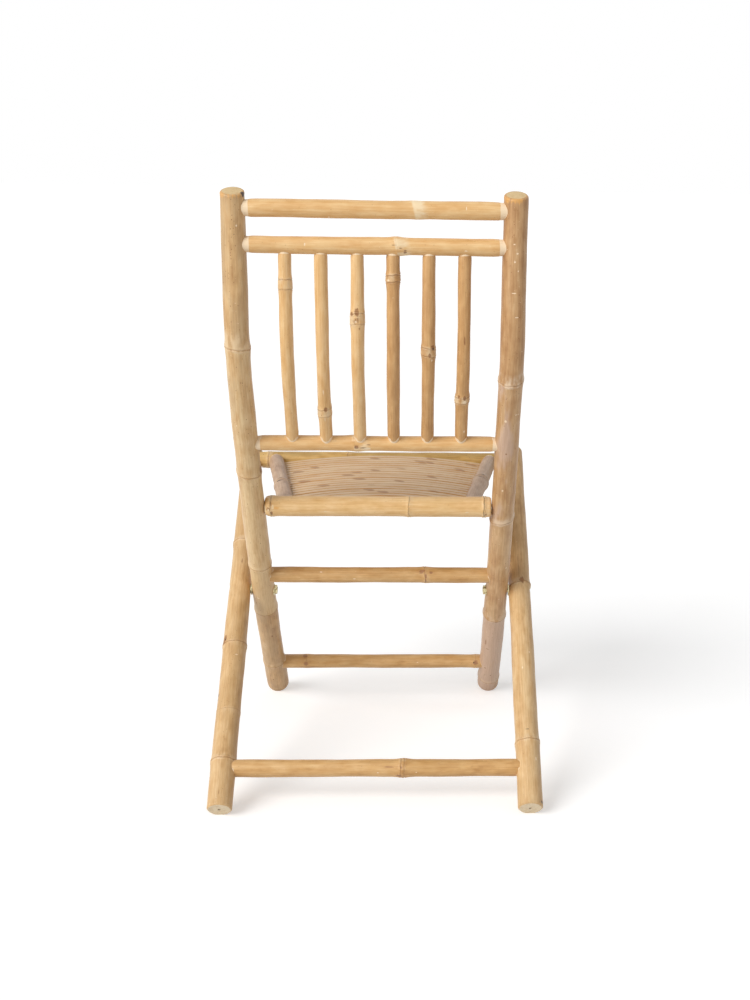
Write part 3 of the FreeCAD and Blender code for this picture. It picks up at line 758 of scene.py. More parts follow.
@dataclass(frozen=True)
class Knot:
    """Node of a cane: a swelling, one or two raised sheath rings, and maybe a bud scar.

    Lengths are in millimetres and angles in degrees from the cane's facing side. The second
    ring lies that far before the first. The pale band reaches back over its width, or forwards
    where its width is negative.
    """

    at: float
    swell: float = 0.7
    spread: float = 7.0
    lip: float = 0.5
    lean: float = 0.0
    lean_to: float = 0.0
    second: float = 0.0
    bud: float | None = None
    bud_size: float = 5.0
    dip: float = 0.0
    line: float = 0.8
    bloom: float = 0.5
    band: float = 6.0

    # place past the node, width and share of the lip's height: outer ridge, inner ridge, groove
    RING = ((2.4, 1.5, 1.0), (-0.9, 0.7, 0.9), (0.5, 0.6, -0.9))
    BUD_SHAPE = 0.62
    BUD_REACH = 0.42

    def distance(self, run: Array, angle: Array) -> Array:
        """Distance past the node in millimetres, along its leaning and dipping ring.

        Args:
            run: Runs along the cane.
            angle: Angles around it.

        Returns:
            Distances.
        """
        place = self.at + self.lean * np.cos(angle - math.radians(self.lean_to))
        place = place + 0.5 * self.lip * np.sin(3 * angle + self.at)
        place = place + 0.6 * self.lip * np.sin(7 * angle + 1.7 * self.at)
        if self.bud is not None:
            turned = wrapped(angle - math.radians(self.bud))
            place = place - self.dip * np.exp(-(turned / self.BUD_REACH) ** 2)
        return run / MM - place

    def relief(self, run: Array, angle: Array, radius: Array) -> Array:
        """Height of the node above the plain cane, in millimetres.

        Args:
            run: Runs along the cane.
            angle: Angles around it.
            radius: Radii there.

        Returns:
            Heights.
        """
        past = self.distance(run, angle)
        half = self.second / 2
        total = self.swell * np.exp(-((past + half) / (self.spread + half)) ** 2)
        rings = (0.0, -self.second) if self.second else (0.0,)
        for ring in rings:
            for place, width, height in self.RING:
                total += self.lip * height * np.exp(-((past - ring - place) / width) ** 2)
        scar = self.bud_mask(run, angle, radius)
        return total + scar * (0.5 * np.sin(run / MM * 2.0 + 2.0 * angle) + 0.5 - scar)

    def ring_mask(self, run: Array, angle: Array) -> Array:
        """Strength of the brown ring lines, 0 to 1.

        Args:
            run: Runs along the cane.
            angle: Angles around it.

        Returns:
            Strengths.
        """
        past = self.distance(run, angle)
        mask = np.exp(-((past - 0.5) / 0.75) ** 2)
        if self.second:
            mask = np.maximum(mask, 0.8 * np.exp(-((past + self.second - 0.5) / 0.8) ** 2))
        return self.line * mask

    def bloom_mask(self, run: Array, angle: Array) -> Array:
        """Strength of the pale band, 0 to 1.

        Args:
            run: Runs along the cane.
            angle: Angles around it.

        Returns:
            Strengths.
        """
        past = self.distance(run, angle) * (1 if self.band > 0 else -1)
        reach = abs(self.band)
        behind = np.clip((past + 1.2 * reach) / (0.5 * reach), 0.0, 1.0)
        return self.bloom * behind * np.clip((3.0 - past) / 2.0 + 0.5, 0.0, 1.0)

    def bud_mask(self, run: Array, angle: Array, radius: Array) -> Array:
        """How strongly the bud scar covers each place, 0 to 1.

        Args:
            run: Runs along the cane.
            angle: Angles around it.
            radius: Radii there.

        Returns:
            Strengths.
        """
        if self.bud is None:
            return np.zeros_like(run)
        across = wrapped(angle - math.radians(self.bud)) * radius / MM
        past = run / MM - (self.at - self.dip) - 0.7 * self.bud_size
        wide = self.BUD_SHAPE * self.bud_size
        return np.exp(-(across / wide) ** 2 - (past / self.bud_size) ** 2)


@dataclass(frozen=True)
class Mark:
    """Blemish of the skin: a scar, a burn, a cream nick or an amber patch.

    Lengths are half sizes in millimetres, angles in degrees from the facing side.
    """

    at: float
    turn: float
    long: float
    wide: float
    kind: MarkKind = MarkKind.CREAM
    strength: float = 1.0

    def mask(self, run: Array, angle: Array, radius: Array) -> Array:
        """How strongly the mark covers each place, 0 to its strength.

        Args:
            run: Runs along the cane.
            angle: Angles around it.
            radius: Radii there.

        Returns:
            Strengths.
        """
        across = wrapped(angle - math.radians(self.turn)) * radius / MM
        past = run / MM - self.at
        return self.strength * np.exp(-(across / self.wide) ** 2 - (past / self.long) ** 2)


@dataclass(frozen=True)
class Host:
    """Cane that another one is fitted to, and how the other is sanded where they meet.

    The band and the depth of the sanding are in millimetres.
    """

    line: CentreLine
    radius: float
    band: float
    depth: float

    def sanded(self, points: Array) -> Array:
        """How much of the skin near this cane was sanded off at points, 0 to 1."""
        gap = (self.line.locate(points)[1] - self.radius) / MM
        return np.clip((self.band - gap) / 1.5 + 0.5, 0.0, 1.0)


@dataclass(frozen=True)
class EndCap:
    """End of a cane: how far its edge is rounded or bevelled, in millimetres."""

    lip: float = 1.0
    round: bool = True

    def shrink(self, gap: Array) -> Array:
        """Drop of the radius in millimetres at a distance from the end.

        Args:
            gap: Distances from the end.

        Returns:
            Drops.
        """
        near = np.clip(self.lip - gap, 0.0, self.lip)
        if self.round:
            return self.lip - np.sqrt(np.maximum(self.lip ** 2 - near ** 2, 0.0))
        return near


def sweep_tree() -> Tree:
    """Geometry nodes that sweep a round cane along a line of points.

    Returns:
        Tree with the inputs Sides and Skin. Each point's girth attribute is its radius.
    """
    tree = bpy.data.node_groups.new("cane sweep", "GeometryNodeTree")
    face = tree.interface
    face.new_socket("Line", in_out="INPUT", socket_type="NodeSocketGeometry")
    face.new_socket("Sides", in_out="INPUT", socket_type="NodeSocketInt")
    face.new_socket("Skin", in_out="INPUT", socket_type="NodeSocketMaterial")
    face.new_socket("Cane", in_out="OUTPUT", socket_type="NodeSocketGeometry")
    given = add_node(tree, "NodeGroupInput").outputs
    curve = add_node(tree, "GeometryNodeMeshToCurve", {"Mesh": given["Line"]})
    girth = add_node(tree, "GeometryNodeInputNamedAttribute", {"Name": "girth"},
                     data_type="FLOAT")
    ring = add_node(tree, "GeometryNodeCurvePrimitiveCircle",
                    {"Resolution": given["Sides"], "Radius": 1.0})
    swept = add_node(tree, "GeometryNodeCurveToMesh",
                     {"Curve": curve.outputs["Curve"], "Profile Curve": ring.outputs["Curve"],
                      "Scale": girth.outputs["Attribute"], "Fill Caps": True})
    whole = add_node(tree, "GeometryNodeRealizeInstances", {"Geometry": swept.outputs["Mesh"]})
    skinned = add_node(tree, "GeometryNodeSetMaterial",
                       {"Geometry": whole.outputs["Geometry"], "Material": given["Skin"]})
    add_node(tree, "NodeGroupOutput", {"Cane": skinned.outputs["Geometry"]})
    return tree


def grown(name: str, base: Mesh, tree: Tree,
          values: dict) -> bpy.types.Object:
    """Runs a geometry tree on a mesh and keeps the result as a plain mesh.

    Args:
        name: Name of the finished object.
        base: Mesh that the tree starts from.
        tree: Geometry node tree.
        values: Input values by the input's name.

    Returns:
        Object at the origin with the plain mesh.
    """
    host = bpy.data.objects.new(name, base)
    bpy.context.scene.collection.objects.link(host)
    modifier = host.modifiers.new("grow", "NODES")
    modifier.node_group = tree
    for item in tree.interface.items_tree:
        if item.in_out == "INPUT" and item.name in values:
            modifier[item.identifier] = values[item.name]
    graph = bpy.context.evaluated_depsgraph_get()
    plain = bpy.data.meshes.new_from_object(host.evaluated_get(graph),
                                            preserve_all_data_layers=True, depsgraph=graph)
    host.modifiers.remove(modifier)
    host.data = plain
    plain.name = name
    bpy.data.meshes.remove(base)
    return host


def set_attribute(mesh: Mesh, name: str, kind: str, values: Array) -> None:
    """Stores a point attribute on a mesh, as FLOAT or FLOAT_VECTOR.

    Args:
        mesh: Mesh to store it on.
        name: Name of the attribute.
        kind: Data type.
        values: One value or row a point.
    """
    made = mesh.attributes.get(name) or mesh.attributes.new(name, kind, "POINT")
    made.data.foreach_set("value" if kind == "FLOAT" else "vector",
                          np.asarray(values, np.float32).ravel())


def vertices_of(mesh: Mesh) -> Array:
    """Vertex positions of a mesh, one a row.

    Args:
        mesh: Mesh to read.

    Returns:
        Positions.
    """
    flat = np.zeros(len(mesh.vertices) * 3)
    mesh.vertices.foreach_get("co", flat)
    return flat.reshape(-1, 3)


def bar_mesh(name: str, base: Vector, axis: Vector, radius: float, length: float,
             sides: int = 48) -> Mesh:
    """Closed round bar for cutting, from base along axis.

    Args:
        name: Name of the mesh.
        base: Middle of the first end.
        axis: Unit direction.
        radius: Radius.
        length: Length.
        sides: Sides of the section.

    Returns:
        Bar.
    """
    way = axis.normalized()
    across = way.orthogonal().normalized()
    other = way.cross(across)
    ring = [across * math.cos(a) + other * math.sin(a)
            for a in (2 * math.pi * i / sides for i in range(sides))]
    points = [base + r * radius for r in ring] + [base + way * length + r * radius for r in ring]
    faces = [(i, (i + 1) % sides, sides + (i + 1) % sides, sides + i) for i in range(sides)]
    faces += [tuple(reversed(range(sides))), tuple(range(sides, 2 * sides))]
    mesh = bpy.data.meshes.new(name)
    mesh.from_pydata([tuple(p) for p in points], [], faces)
    return mesh


def block_mesh(name: str, corner: Vector, turn: Matrix, size: tuple[float, float, float]
               ) -> Mesh:
    """Closed block for cutting, from a corner along turned axes.

    Args:
        name: Name of the mesh.
        corner: First corner.
        turn: Turn of the axes.
        size: Lengths of the edges.

    Returns:
        Block.
    """
    steps = [(0, 0, 0), (1, 0, 0), (1, 1, 0), (0, 1, 0), (0, 0, 1), (1, 0, 1), (1, 1, 1),
             (0, 1, 1)]
    points = [corner + turn @ Vector((s[0] * size[0], s[1] * size[1], s[2] * size[2]))
              for s in steps]
    faces = [(0, 3, 2, 1), (4, 5, 6, 7), (0, 1, 5, 4), (1, 2, 6, 5), (2, 3, 7, 6), (3, 0, 4, 7)]
    mesh = bpy.data.meshes.new(name)
    mesh.from_pydata([tuple(p) for p in points], [], faces)
    return mesh


def carve(obj: bpy.types.Object, cutters: list[Mesh],
          inside: Material) -> None:
    """Cuts closed meshes out of an object and keeps the result as its plain mesh.

    Args:
        obj: Object to cut.
        cutters: Meshes to take away, which are removed afterwards.
        inside: Material of the cut faces.
    """
    for mesh in cutters:
        mesh.materials.append(inside)
        tool = bpy.data.objects.new("cutter", mesh)
        bpy.context.scene.collection.objects.link(tool)
        modifier = obj.modifiers.new("cut", "BOOLEAN")
        modifier.operation = "DIFFERENCE"
        modifier.solver = "EXACT"
        modifier.material_mode = "TRANSFER"
        modifier.object = tool
        graph = bpy.context.evaluated_depsgraph_get()
        plain = bpy.data.meshes.new_from_object(obj.evaluated_get(graph),
                                                preserve_all_data_layers=True, depsgraph=graph)
        obj.modifiers.remove(modifier)
        obj.data = plain
        bpy.data.objects.remove(tool)
        bpy.data.meshes.remove(mesh)


@dataclass
class Cane:
    """One bamboo cane of the chair."""

    name: str
    line: CentreLine
    start_radius: float
    end_radius: float
    knots: tuple[Knot, ...]
    finish: Material
    cut: Material
    body: Body
    slot: Slot
    start: EndCap = field(default_factory=EndCap)
    end: EndCap = field(default_factory=EndCap)
    sides: int = 40
    seed: int = 1
    hosts: tuple[Host, ...] = ()
    marks: tuple[Mark, ...] = ()
    tones: tuple[tuple[float, float], ...] = ()
    slant: float = 0.0
    cutters: list[Mesh] = field(default_factory=list)
    floor: bool = False
    groove: tuple[float, float, float, float] | None = None

    COARSE = 6.0
    FINE = 0.8
    NEAR_KNOT = 13.0
    NEAR_END = 8.0
    SLANT_REACH = 30.0
    FADE = 6.0
    CAP_SIDES = 6
    SHARP = math.radians(38)
    # wavelength and height of the cane's slight unevenness, in millimetres
    WAVES = ((210, 0.28), (90, 0.14), (37, 0.06))
    MARK_DEPTH = 0.25
    GROOVE_HALF = 3.2
    # share of the radius within which a cut face gets painted shade, dark brown for the shadow
    # inside the cane's hollow
    CORE = 0.35

    def stations(self) -> Array:
        """Runs in millimetres at which the cane gets a ring, close together at its details.

        Returns:
            Runs in millimetres.
        """
        length = self.line.length / MM
        places = list(np.arange(0.0, length, self.COARSE)) + [length]
        for knot in self.knots:
            places += list(np.arange(knot.at - knot.second - self.NEAR_KNOT,
                                     knot.at + self.NEAR_KNOT, self.FINE))
        for mark in self.marks:
            reach = 1.6 * mark.long
            places += list(np.arange(mark.at - reach, mark.at + reach, max(0.6, reach / 12)))
        for cap, origin, way in ((self.start, 0.0, 1), (self.end, length, -1)):
            reach = max(self.NEAR_END, cap.lip)
            places += [origin + way * gap for gap in np.linspace(0, 1, 14) ** 2 * reach]
        kept = sorted(p for p in places if 0.0 <= p <= length)
        clear = [kept[0]]
        for place in kept[1:]:
            if place - clear[-1] > 0.06:
                clear.append(place)
        clear[-1] = length
        return np.array(clear)

    def girths(self, runs: Array) -> Array:
        """Radius in metres at runs in millimetres, with the ends' rounding.

        Args:
            runs: Runs in millimetres.

        Returns:
            Radii in metres.
        """
        length = self.line.length / MM
        share = runs / length
        radius = self.start_radius + (self.end_radius - self.start_radius) * share
        drop = self.start.shrink(runs) + self.end.shrink(length - runs)
        return np.maximum(radius - drop * MM, 0.3 * MM)

    def relief(self, run: Array, angle: Array, radius: Array) -> Array:
        """Height of the skin above the plain taper, in metres.

        Args:
            run: Runs in metres.
            angle: Angles from the facing side.
            radius: Radii in metres.

        Returns:
            Heights in metres.
        """
        rng = np.random.default_rng(self.seed)
        total = np.zeros_like(run)
        for wave, size in self.WAVES:
            phase = rng.uniform(0, 2 * math.pi, 2)
            total += size * np.sin(run / MM * 2 * math.pi / wave + phase[0]
                                   + np.sin(angle + phase[1]))
        for knot in self.knots:
            total += knot.relief(run, angle, radius)
        for mark in self.marks:
            if mark.kind is not MarkKind.AMBER:
                total -= self.MARK_DEPTH * mark.mask(run, angle, radius)
        length = self.line.length
        fade = np.clip(np.minimum(run, length - run) / (self.FADE * MM), 0.0, 1.0)
        if self.groove:
            start, stop, at_angle, depth = self.groove
            turned = wrapped(angle - math.radians(at_angle))
            inside = np.clip((run / MM - start) / 3, 0, 1) * np.clip((stop - run / MM) / 25, 0, 1)
            total -= depth * inside * np.exp(-(turned * radius / MM / self.GROOVE_HALF) ** 2)
        return total * fade * MM

    def build(self, tree: Tree) -> bpy.types.Object:
        """Makes the cane's object and puts it on its body.

        Args:
            tree: Geometry tree of the sweep.

        Returns:
            The finished object.
        """
        runs = self.stations()
        base = bpy.data.meshes.new(self.name)
        base.from_pydata([self.line.point(run * MM) for run in runs],
                         [(i, i + 1) for i in range(len(runs) - 1)], [])
        set_attribute(base, "girth", "FLOAT", self.girths(runs))
        obj = grown(self.name, base, tree, {"Sides": self.sides, "Skin": self.finish})
        mesh = obj.data
        mesh.materials.append(self.cut)
        many = np.zeros(len(mesh.polygons), int)
        mesh.polygons.foreach_get("loop_total", many)
        mesh.polygons.foreach_set("material_index", (many > self.CAP_SIDES).astype(int))

        points = vertices_of(mesh)
        run, radius, angle, centre = self.line.locate(points)
        raised = radius + self.relief(run, angle, radius)
        for host in self.hosts:
            raised -= host.depth * MM * host.sanded(points)
        points = centre + (points - centre) * (raised / np.maximum(radius, 1e-6))[:, None]
        if self.slant:
            near = np.clip(1 - (self.line.length - run) / (self.SLANT_REACH * MM), 0.0, 1.0)
            drop = math.tan(math.radians(self.slant)) * np.cos(angle) * raised * near ** 2
            points = points - self.line.ways[-1] * drop[:, None]
        if self.floor:
            points[:, 2] = np.maximum(points[:, 2], 0.0)
        mesh.vertices.foreach_set("co", points.ravel())
        mesh.update()
        if self.cutters:
            carve(obj, self.cutters, self.cut)
            mesh = obj.data
        self.paint(mesh)
        mesh.polygons.foreach_set("use_smooth", np.ones(len(mesh.polygons), bool))
        mesh.set_sharp_from_angle(angle=self.SHARP)
        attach(obj, self.body.value)
        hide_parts(self.name)
        LOG.info("%s: %d faces", self.name, len(mesh.polygons))
        return obj

    def paint(self, mesh: Mesh) -> None:
        """Stores what the materials read: own coordinates, rings, blemishes and tones.

        Args:
            mesh: Mesh of the cane.
        """
        points = vertices_of(mesh)
        run, radius, angle, _ = self.line.locate(points)
        names = [kind.value for kind in MarkKind]
        names += ["ring", "bloom", "light", "weather", "sanded"]
        layers = {name: np.zeros_like(run) for name in names}
        for knot in self.knots:
            layers["ring"] = np.maximum(layers["ring"], knot.ring_mask(run, angle))
            layers["bloom"] = np.maximum(layers["bloom"], knot.bloom_mask(run, angle))
            layers["scar"] = np.maximum(layers["scar"], knot.bud_mask(run, angle, radius))
        for mark in self.marks:
            name = mark.kind.value
            layers[name] = np.maximum(layers[name], mark.mask(run, angle, radius))
        for host in self.hosts:
            layers["sanded"] = np.maximum(layers["sanded"], host.sanded(points))
        knots = sorted(self.knots, key=lambda knot: knot.at)
        for index, (light, weather) in enumerate(self.tones):
            share = np.ones_like(run)
            if index > 0:
                share *= np.clip(knots[index - 1].distance(run, angle) / 4 + 0.5, 0, 1)
            if index < len(knots):
                share *= np.clip(0.5 - knots[index].distance(run, angle) / 4, 0, 1)
            layers["light"] += light * share
            layers["weather"] += weather * share
        # painted shade: cut faces near the axis and away from the ends are marked to take the dark
        # hollow colour
        deep = (run > 0.5 * MM) & (run < self.line.length - 0.5 * MM)
        core = self.CORE * min(self.start_radius, self.end_radius)
        layers["hollow"] = (deep & (radius < core)).astype(float)
        culm = np.stack([np.cos(angle) * radius, np.sin(angle) * radius, run], axis=1)
        set_attribute(mesh, "culm", "FLOAT_VECTOR", culm)
        layers["seed"] = np.full(len(points), 0.37 * self.seed)
        for name, values in layers.items():
            set_attribute(mesh, name, "FLOAT", values)


# ---------- finishes of this chair


class Palette:
    """Materials of the chair, each made once."""

    def __init__(self) -> None:
        """Builds every finish."""
        self.post_left = CaneFinish(
            "sun-dried bamboo, sandy left post", "#d3ac78", "#e4c696", "#b18654", "#b99b73",
            weather_share=0.5, fleck_share=1.0, scuff_share=0.5, ring="#a06c38").material()
        self.post_right = CaneFinish(
            "sun-dried bamboo, brown right post", "#c39868", "#d8b486", "#a67848", "#ceb09a",
            weather_share=0.8, fleck_share=1.0, scuff_share=0.8, ring="#a06c3c",
            bloom="#ddc3a4").material()
        self.leg = CaneFinish(
            "sun-dried bamboo, legs", "#d2ab77", "#e2c292", "#b48a56", "#bd9662",
            weather_share=0.5, fleck_share=0.5, scuff_share=0.3, ring="#94663a").material()
        self.rail = CaneFinish(
            "sun-dried bamboo, honey rails", "#e1b478", "#edc992", "#cf9c58", "#d3a262",
            weather_share=0.3, fleck_share=0.4, scuff_share=0.5, bloom="#f1d8af",
            scar="#8a5c38").material()
        self.stretcher = CaneFinish(
            "sun-dried bamboo, stretchers", "#d2a56a", "#e2bb84", "#ae7e44", "#b6894c",
            weather_share=0.45, fleck_share=0.5, scuff_share=0.4, scar="#9a6a48").material()
        self.spindle = CaneFinish(
            "sun-dried bamboo, golden spindles", "#e0b67c", "#edca96", "#cc9a5a", "#d4a468",
            weather_share=0.3, fleck_share=0.3, scuff_share=0.3).material()
        self.spindle_brown = CaneFinish(
            "sun-dried bamboo, brown spindles", "#c6975f", "#d9ad75", "#a97a44", "#b28250",
            weather_share=0.45, fleck_share=0.4, scuff_share=0.3).material()
        self.seat_rail = CaneFinish(
            "sun-dried bamboo, rear seat rail", "#e4bb80", "#f2d09c", "#cfa262", "#d1a764",
            weather_share=0.3, fleck_share=0.4, scuff_share=0.4, ring="#7a6546",
            sanded="#ecd2a8").material()
        self.front_rail = CaneFinish(
            "sun-dried bamboo, olive front rail", "#c89e58", "#dcb878", "#98702c", "#927438",
            weather_share=0.5, fleck_share=1.0, scuff_share=0.2).material()
        self.side_rail = CaneFinish(
            "weathered bamboo, grey side rails", "#b39174", "#c6a98c", "#8c6a4e", "#a07e62",
            weather_share=0.4, fleck_share=0.3, scuff_share=0.3, ring="#6f5438",
            scar="#5c422a", roughness=0.52).material()
        self.cut = CutFinish("sawn bamboo end grain", "#ecdabb", "#c2a070").material()
        self.top_cut = CutFinish("sawn and oiled bamboo post top", "#dbbf8f",
                                 "#c09a62").material()
        self.slat = SlatFinish("split and planed bamboo strip", "#c9a780", "#dec19b",
                               "#b98340", "#93612f").material()
        self.batten = BattenFinish("split bamboo lath", "#d2b083", "#a88457").material()
        self.zinc = MetalFinish("zinc-plated steel, yellow passivated", "#dccfa4", "#8c7b4e",
                                0.3).material()
        self.pin = MetalFinish("bright drawn steel", "#b4b4b2", "#8a8780", 0.3).material()


# ---------- sub-assemblies


def node_middle(name: str) -> tuple[Vector, Vector]:
    """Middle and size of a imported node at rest."""
    low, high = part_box(name)
    return (low + high) / 2, high - low


@dataclass
class BackFrame:
    """Posts, back rails, spindles and the stretchers between the posts."""

    palette: Palette
    sweep: Tree
    post_x: float = 0.1858
    foot_radius: float = 0.0184
    top_radius: float = 0.0163
    pith_radius: float = 0.0025
    pith_depth: float = 0.014
    spindle_radius: float = 0.009
    top_slant: float = 17.0

    def post_radius(self, height: float) -> float:
        """Radius of a post at a height."""
        share = POST.run_at(height) / POST.run
        return self.foot_radius + (self.top_radius - self.foot_radius) * share

    def post_line(self, side: int) -> BentLine:
        """Centre line of the post on one side, +1 for the sitter's left."""
        return BentLine(side * self.post_x, 0.0, POST.run)

    def pith_cutter(self, side: int) -> Mesh:
        """Bar that opens the pith hole in a post's foot.

        Args:
            side: 1 for left, -1 for right.

        Returns:
            Bar.
        """
        line = self.post_line(side)
        foot = Vector(line.point(0.0))
        way = Vector(line.ways[0])
        return bar_mesh("pith", foot - way * 0.01, way, self.pith_radius,
                        self.pith_depth + 0.01, 20)

    def posts(self) -> None:
        """Bent posts with their nodes, worn feet and slanted tops."""
        scar = MarkKind.SCAR
        left = (Knot(89, 0.6, 8, 0.5, 1.2, 60, band=-10, bloom=0.5),
                Knot(255, 0.7, 9, 0.55, 1.5, 100, band=-8, bloom=0.4),
                Knot(371, 0.6, 8, 0.45, 1.0, -40, band=-8, bloom=0.4),
                Knot(572, 1.0, 10, 0.55, 2.0, -90, bud=82, bud_size=8.0, bloom=0.4,
                     band=-8),
                Knot(785, 1.0, 10, 0.55, 2.0, -90, line=0.7, band=-22, bloom=0.8))
        right = (Knot(30, 0.8, 8, 0.5, 1.8, -60, bloom=0.5, band=-8),
                 Knot(238, 1.1, 9, 0.6, 2.2, -80, band=-12, bloom=0.6),
                 Knot(480, 1.2, 10, 0.65, 3.5, 80, line=0.6, bloom=0.8, band=-10),
                 Knot(740, 1.2, 9, 0.6, 2.0, 150, line=0.3, bloom=1.0, band=-15))
        left_marks = (
            Mark(987, 70, 4.6, 4.6, MarkKind.BURN, 1.0),
            Mark(947, 22, 2.2, 1.4), Mark(668, -30, 1.2, 1.2), Mark(300, -25, 1.0, 2.0),
            Mark(192, 20, 4.0, 2.2, scar, 0.9), Mark(214, 30, 1.6, 1.4, scar, 1.1),
            Mark(46, -12, 1.6, 1.3, scar, 1.0), Mark(900, -60, 1.4, 1.4, scar, 0.9),
            Mark(936, 10, 1.0, 1.2, MarkKind.BURN, 0.8), Mark(640, -66, 2.0, 1.6, scar, 0.9),
        )
        right_marks = (
            Mark(928, -7, 1.2, 1.2), Mark(916, 9, 1.0, 1.0), Mark(905, -2, 1.1, 1.1),
            Mark(893, 14, 1.0, 1.0), Mark(864, -5, 0.9, 3.4), Mark(832, 15, 0.9, 3.0),
            Mark(690, 34, 1.2, 1.2), Mark(689, 48, 1.2, 1.2), Mark(680, -17, 2.6, 2.6),
            Mark(551, -12, 2.6, 1.6), Mark(377, 38, 3.0, 1.1), Mark(300, 12, 2.4, 0.9),
            Mark(622, -6, 1.4, 1.4, scar, 1.0), Mark(205, 8, 1.6, 1.5, MarkKind.BURN, 0.8),
            Mark(190, -26, 1.0, 3.0, scar, 0.8), Mark(150, -26, 1.0, 3.0, scar, 0.8),
            Mark(170, -40, 12.0, 0.9, scar, 0.8), Mark(84, -30, 1.4, 1.4, scar, 1.1),
            Mark(60, 4, 1.6, 1.4, scar, 1.1), Mark(58, -30, 1.2, 1.2, scar, 1.0),
        )
        rows = (
            ("left", 1, left, left_marks, self.palette.post_left, 3,
             ((-0.7, 0.3), (-0.5, 0.3), (0.6, -0.3), (0.5, -0.3), (0.2, 0.1), (-0.2, 0.4))),
            ("right", -1, right, right_marks, self.palette.post_right, 8,
             ((-0.2, 0.5), (1.0, 0.9), (0.2, -0.7), (-0.1, 0.1), (-0.5, -0.5))),
        )
        top = POST.run / MM
        for label, side, knots, marks, finish, seed, tones in rows:
            # the rind was pared away under the sawn top, which left an amber collar
            collar = tuple(Mark(top - (6.0 if abs(turn) < 70 else 2.0), turn, 6.0, 7.5,
                                MarkKind.AMBER, 0.62) for turn in range(-165, 166, 30))
            Cane(f"post_{label}", self.post_line(side), self.foot_radius, self.top_radius,
                 knots, finish, self.palette.top_cut, Body.BACK, Slot.POST, start=EndCap(1.5),
                 end=EndCap(3.2), sides=72, seed=seed, marks=marks + collar, tones=tones,
                 slant=self.top_slant, cutters=[self.pith_cutter(side)],
                 floor=True).build(self.sweep)

    def rail(self, name: str, knots: tuple[Knot, ...], material: Material, seed: int,
             band: float, depth: float, marks: tuple[Mark, ...] = ()) -> None:
        """Cane between the posts, its ends let into them.

        Args:
            name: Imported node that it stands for.
            knots: Its nodes, measured from the middle towards the sitter's left.
            material: Its finish.
            seed: Number of its own pattern.
            band: Width of the sanded band at each end, in millimetres.
            depth: Depth of the sanding, in millimetres.
            marks: Its blemishes, measured like the nodes.
        """
        middle, size = node_middle(name)
        radius = size.z / 2
        inner = self.post_radius(middle.z)
        reach = self.post_x - REACH_IN * inner
        line = StraightLine(Vector((-reach, middle.y, middle.z)),
                            Vector((reach, middle.y, middle.z)), Vector((0, 1, 0)))
        moved = tuple(replace(knot, at=knot.at + reach / MM) for knot in knots)
        shifted = tuple(replace(mark, at=mark.at + reach / MM) for mark in marks)
        hosts = tuple(Host(self.post_line(side), inner, band, depth) for side in (1, -1))
        Cane(name, line, radius, radius, moved, material, self.palette.cut, Body.BACK,
             Slot.RAIL, sides=48, seed=seed, hosts=hosts, marks=shifted).build(self.sweep)

    def rails(self) -> None:
        """Back rails and stretchers."""
        palette = self.palette
        scar = MarkKind.SCAR
        self.rail("top_rail",
                  (Knot(-54, 0.5, 9, 0.06, 3.0, 90, line=0.0, bloom=1.0, band=13),),
                  palette.rail, 11, 7.0, 0.9,
                  (Mark(-120, 20, 1.0, 3.0), Mark(60, -60, 1.2, 4.0), Mark(98, 10, 2.0, 2.2,
                                                                         scar, 0.6)))
        self.rail("upper_back_rail",
                  (Knot(-31, 1.3, 9, 0.12, 3.0, 70, line=0.12, bloom=1.0, band=15),),
                  palette.rail, 12, 7.0, 0.9,
                  (Mark(-40, -30, 3.5, 4.0, scar, 0.75), Mark(-34, -8, 3.0, 1.2, scar, 0.8),
                   Mark(-27, 12, 5.0, 1.2, scar, 0.5), Mark(-46, 4, 4.0, 1.0, scar, 0.5),
                   Mark(-120, -20, 3.0, 1.2), Mark(92, 10, 1.0, 2.5)))
        self.rail("lower_back_rail",
                  (Knot(30, 1.1, 9, 0.12, 3.0, 80, line=0.1, bloom=0.9, band=17),),
                  palette.rail, 13, 6.5, 0.8,
                  (Mark(29, -14, 4.0, 4.0, scar, 0.95), Mark(30, -14, 1.8, 2.0, MarkKind.BURN,
                                                              0.6),
                   Mark(21, -25, 6.0, 1.4, scar, 0.7),
                   Mark(12, 0, 6.0, 1.4, scar, 0.5), Mark(14, -34, 7.0, 1.6, MarkKind.CREAM, 0.7),
                   Mark(34, 14, 4.0, 1.0, scar, 0.7)))
        self.rail("mid_stretcher",
                  (Knot(-72, 0.8, 7, 0.3, 1.5, 90, line=0.5, bloom=0.3),),
                  palette.stretcher, 14, 0.3, 0.3,
                  (Mark(-66, 42, 7.5, 4.5, scar, 0.95), Mark(-80, 34, 5.0, 3.4, scar, 0.95),
                   Mark(-72, 10, 2.2, 5.0, scar, 0.8), Mark(-72, -30, 0.9, 7.0, scar, 0.9),
                   Mark(138, 12, 2.0, 0.9), Mark(92, 36, 2.2, 0.9), Mark(40, -14, 2.6, 0.9)))
        self.rail("front_stretcher",
                  (Knot(129, 0.5, 8, 0.15, 1.0, 20, line=0.3, bloom=0.0),
                   Knot(-162, 0.6, 7, 0.3, 1.0, 0, line=0.3, bloom=0.1)),
                  palette.stretcher, 15, 0.3, 0.3,
                  (Mark(131, 0, 6.5, 9.0, scar, 0.72), Mark(133, 60, 6.0, 8.0, scar, 0.68),
                   Mark(-160, 5, 5.0, 6.5, scar, 0.72), Mark(-157, 8, 1.6, 1.6, MarkKind.BURN,
                                                            0.7),
                   Mark(40, 20, 2.0, 0.9), Mark(-60, 10, 2.4, 0.9)))

    def spindles(self) -> None:
        """Six thin canes bent like the posts."""
        gold = self.palette.spindle
        brown = self.palette.spindle_brown
        scar = MarkKind.SCAR
        upper, upper_size = node_middle("upper_back_rail")
        lower, lower_size = node_middle("lower_back_rail")
        first = POST.run_at(lower.z)
        last = POST.run_at(upper.z)
